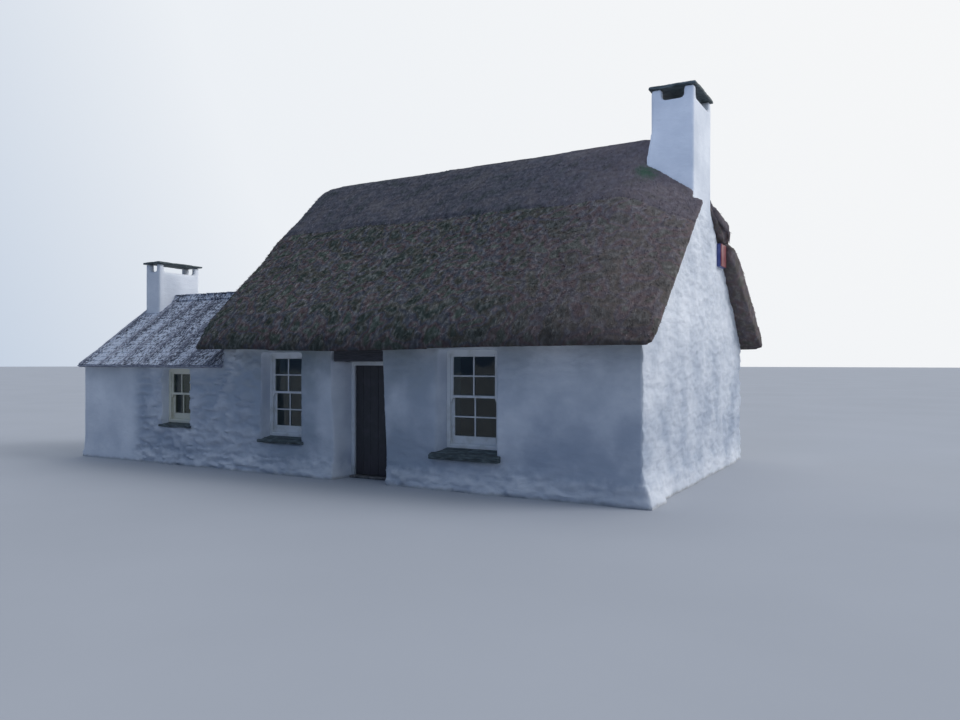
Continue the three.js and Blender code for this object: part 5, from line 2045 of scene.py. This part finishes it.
@dataclass
class StoneFloors:
    """The flagged floors of both rooms, in mortar beds.

    Attributes:
        flag: Width and length of a flag.
        thick: Thickness of a flag.
    """

    flag: tuple[float, float] = (0.62, 0.48)
    thick: float = 0.03

    def build(self) -> None:
        """Builds the bed and the flags of each room."""
        for node in ("main_floor", "annex_floor"):
            low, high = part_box(node)
            bm = bmesh.new()
            add_box(bm, low, (high.x, high.y, high.z - 0.008))
            settle(from_bmesh(bm, f"{node}_bed"), MORTAR, stands_for=[node])
            across, rows = round((high.x - low.x) / self.flag[0]), round((high.y - low.y) / self.flag[1])
            width, gauge = (high.x - low.x) / across, (high.y - low.y) / rows
            shape = flat_shape(f"{node}_flag", width - 0.012, gauge - 0.012, self.thick, 0.006, 4, 0.004)
            made = Courses(
                shape, across, rows, width, gauge, (low.x, low.y, high.z), stagger=0.0,
                turn=(0.002, 0.002, 0.004), smallest=(0.985, 0.98, 0.9), seed=9,
            ).lay(f"{node}_flags", FLAGSTONE)
            hold_in(made, (low, high))
            settle(made, FLAGSTONE)


@dataclass
class BellBox:
    """The plain two-tone bell box high on the right gable.

    Attributes:
        cover: Thickness of its cover.
        corner: Radius of the cover's corners.
    """

    cover: float = 0.018
    corner: float = 0.012

    def build(self) -> None:
        """Builds the base, the cover and the louvres under it."""
        low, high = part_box("alarm_box")
        split = high.x - self.cover
        for name, finish, x0, x1, inset, nodes in (
            ("alarm_box_base", BLUE_BOX, low.x, split, 0.0, ["alarm_box"]),
            ("alarm_box_cover", RED_BOX, split + 0.0015, high.x, 0.004, []),
        ):
            bm = bmesh.new()
            add_box(bm, (x0, low.y + inset, low.z + inset), (x1, high.y - inset, high.z - inset))
            edges, round_off = bm.edges[:], self.corner / 2
            bmesh.ops.bevel(bm, geom=edges, offset=round_off, segments=3, affect="EDGES", profile=0.5)
            settle(from_bmesh(bm, name, 40), finish, stands_for=nodes)
        bm = bmesh.new()
        for step in range(6):
            z = low.z + 0.05 + 0.016 * step
            add_box(bm, (high.x - 0.004, low.y + 0.09, z), (high.x - 0.0005, high.y - 0.09, z + 0.007), 0.001)
        settle(from_bmesh(bm, "alarm_box_louvres"), BLUE_BOX)


@dataclass
class Curtain:
    """The gathered curtain behind the right half of the annex window.

    Attributes:
        folds: How many folds it hangs in.
        fold_depth: Half the depth of a fold.
        columns: Faces across the cloth.
        rows: Faces down the cloth.
        thick: Thickness of the cloth.
    """

    folds: float = 7.0
    fold_depth: float = 0.015
    columns: int = 140
    rows: int = 40
    thick: float = 0.0012

    def build(self) -> None:
        """Hangs the cloth on the rod."""
        low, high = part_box("annex_curtain")
        across = np.linspace(0, 1, self.columns + 1)
        length = high.z - low.z - 0.006
        bm = bmesh.new()
        grid, unrolled = [], 0.0
        for down in np.linspace(0, 1, self.rows + 1):
            sway = 0.25 * math.sin(3.1 * down) + 0.12 * math.sin(7.3 * down + 1)
            phase = 2 * math.pi * self.folds * across + sway * np.sin(2.2 * across * math.pi)
            fold = self.fold_depth * (0.75 + 0.25 * down) * (0.85 + 0.15 * np.cos(1.7 * phase + 1))
            y = (low.y + high.y) / 2 + fold * np.sin(phase)
            x = low.x + 0.014 + across * (high.x - low.x - 0.028) - 0.012 * (1 - down) * (2 * across - 1)
            unrolled += np.hypot(np.diff(x), np.diff(y)).sum() / (self.rows + 1)
            z = high.z - 0.003 - down * length
            grid.append([bm.verts.new((x[i], y[i], z)) for i in range(self.columns + 1)])
        sheet = bm.loops.layers.uv.new("UVMap")
        for r, c in np.ndindex(self.rows, self.columns):
            corners = ((0, 0), (1, 0), (1, 1), (0, 1))
            face = bm.faces.new([grid[r + dr][c + dc] for dr, dc in corners])
            for loop, (dr, dc) in zip(face.loops, corners):
                loop[sheet].uv = ((c + dc) / self.columns * unrolled, (r + dr) / self.rows * length)
        cloth = from_bmesh(bm, "annex_curtain_cloth", 60)
        solid = cloth.modifiers.new("thickness", "SOLIDIFY")
        solid.thickness, solid.offset = self.thick, 0.0
        cloth = settle(plain(cloth, "annex_curtain_cloth"), COTTON, stands_for=["annex_curtain"])


def finish_carried_nodes() -> None:
    """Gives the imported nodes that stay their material."""
    for node in ("purlin_front", "purlin_rear", "annex_curtain_rod"):
        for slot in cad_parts[node].material_slots:
            slot.material = ROOF_TIMBER.build()


@dataclass
class Studio:
    """The pale floor, the soft light and the camera at the photograph's angle.

    Attributes:
        eye: Where the camera stands.
        heading: Its turn to the left.
        pitch: Its turn upwards.
        roll: Its turn about the view.
        lens_mm: Its focal length, for a picture 36 mm wide.
        sky: Colours of the soft light, from in front of the house to behind it.
        sky_axis: The way along which the sky brightens.
        key_power: Strength of the soft key light, which falls on the right gable.
        fill_power: Strength of the cool fill, which falls on the right stack and the thatch.
    """

    eye: Triple = (6.742, -12.530, 1.830)
    heading: float = 0.5141
    pitch: float = 0.0022
    roll: float = 0.0010
    lens_mm: float = 29.60
    sky: Stops = (
        (0.0, "#54698A"), (0.35, "#54698A"), (0.55, "#B9C8DC"), (0.75, "#ECF0F5"), (1.0, "#F6F7F8"),
    )
    sky_axis: Triple = (0.25, 0.85, 0.45)
    key_power: float = 1.15
    fill_power: float = 900.0

    def build(self) -> None:
        """Builds the floor, the lights and the camera."""
        bpy.context.scene.view_settings.view_transform = "Standard"
        bm = bmesh.new()
        bmesh.ops.create_circle(bm, cap_ends=True, segments=96, radius=300.0)
        floor = from_bmesh(bm, "studio_floor")
        floor.data.materials.append(FLOOR.build())
        self.light_sky()
        sun = bpy.data.lights.new("soft_key", "SUN")
        sun.energy, sun.angle, sun.color = self.key_power, math.radians(30), linear("#F8F9FF")[:3]
        self.stand(sun, (0, 0, 0), (-0.72, -0.35, -0.6))
        fill = bpy.data.lights.new("soft_fill", "SPOT")
        fill.energy, fill.spot_size, fill.spot_blend = self.fill_power, math.radians(34), 1.0
        fill.shadow_soft_size, fill.color = 1.5, linear("#C6DAFF")[:3]
        self.stand(fill, (3.0, -8.0, 9.0), (0.3, 7.5, -3.8))
        lens = bpy.data.cameras.new("camera")
        lens.lens, lens.sensor_width, lens.clip_end = self.lens_mm, 36.0, 1000.0
        camera = self.stand(lens, self.eye, (0, 0, -1))
        turn = Matrix.Rotation(self.heading, 4, "Z") @ Matrix.Rotation(math.pi / 2 + self.pitch, 4, "X")
        camera.matrix_world = Matrix.Translation(self.eye) @ turn @ Matrix.Rotation(self.roll, 4, "Z")
        bpy.context.scene.camera = camera

    @staticmethod
    def stand(thing: bpy.types.ID, place: Sequence[float], aim: Sequence[float]) -> bpy.types.Object:
        """Puts a light or a camera into the scene, turned the way that it faces.

        Args:
            thing: The light or the camera.
            place: Where it stands.
            aim: The way that it faces.

        Returns:
            Its object.
        """
        seat = bpy.data.objects.new(thing.name, thing)
        seat.location, seat.rotation_euler = place, Vector(aim).to_track_quat("-Z", "Y").to_euler()
        bpy.context.scene.collection.objects.link(seat)
        return seat

    def light_sky(self) -> None:
        """Lights the house softly, bright behind and above and dim towards the camera."""
        world = bpy.data.worlds.new("studio_sky")
        bpy.context.scene.world = world
        world.use_nodes = True
        node = partial(add_node, world.node_tree)
        facing = node(Node.DOT, node(Node.RAY), self.sky_axis)
        share = node(Node.RANGE, facing, -1.0, 1.0, 0.0, 1.0, interpolation_type="LINEAR")
        background = world.node_tree.nodes["Background"].inputs["Color"]
        world.node_tree.links.new(node(Node.RAMP, share, stops=self.sky), background)


def write_sizes() -> None:
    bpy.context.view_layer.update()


def main() -> None:
    """Builds the whole dressed cottage, one sub-assembly after another."""
    logging.basicConfig(level=logging.INFO, format="%(message)s")
    sill_wear = Relief(0.22, 0.05, 0.006, 0.06, 0.006, 0.3, 0.012, 0.03, 0.004, 5.0)
    cap_wear = Relief(0.3, 0.05, 0.008, 0.08, 0.008, 0.4, 0.014, 0.04, 0.006, 6.0)
    lintel_wear = Relief(0.4, 0.1, 0.006, 0.1, 0.006, 0.5, 0.016, 0.06, 0.005, 7.0)
    step_wear = Relief(0.4, 0.3, 0.003, 0.1, 0.003, 0.5, 0.008, 0.05, 0.002, 9.0)
    parts: list[Any] = [
        Studio(),
        Masonry(),
        ThatchRoof(),
        AnnexRoof(),
        SashWindow("right_window", 2, WINDOW_PAINT),
        SashWindow("left_window", 2, WINDOW_PAINT),
        SashWindow("annex_window", 1, CREAM_PAINT),
        FixedLight("rear_window", 2, WINDOW_PAINT, outward=1),
        WornSlab("right_window_sill", DARK_SLATE, sill_wear),
        WornSlab("left_window_sill", DARK_SLATE, sill_wear),
        WornSlab("annex_window_sill", DARK_SLATE, sill_wear),
        WornSlab("rear_window_sill", DARK_SLATE, sill_wear),
        WornSlab("right_chimney_cap", DARK_SLATE, cap_wear, 0.018),
        WornSlab("annex_chimney_cap", DARK_SLATE, cap_wear, 0.018),
        WornSlab("door_lintel", LINTEL, lintel_wear),
        WornSlab("door_threshold", FLAGSTONE, step_wear),
        Doorway(),
        StoneFloors(),
        BellBox(),
        Curtain(),
    ]
    for part in parts:
        part.build()
    finish_carried_nodes()
    write_sizes()


if __name__ == "__main__":
    main()
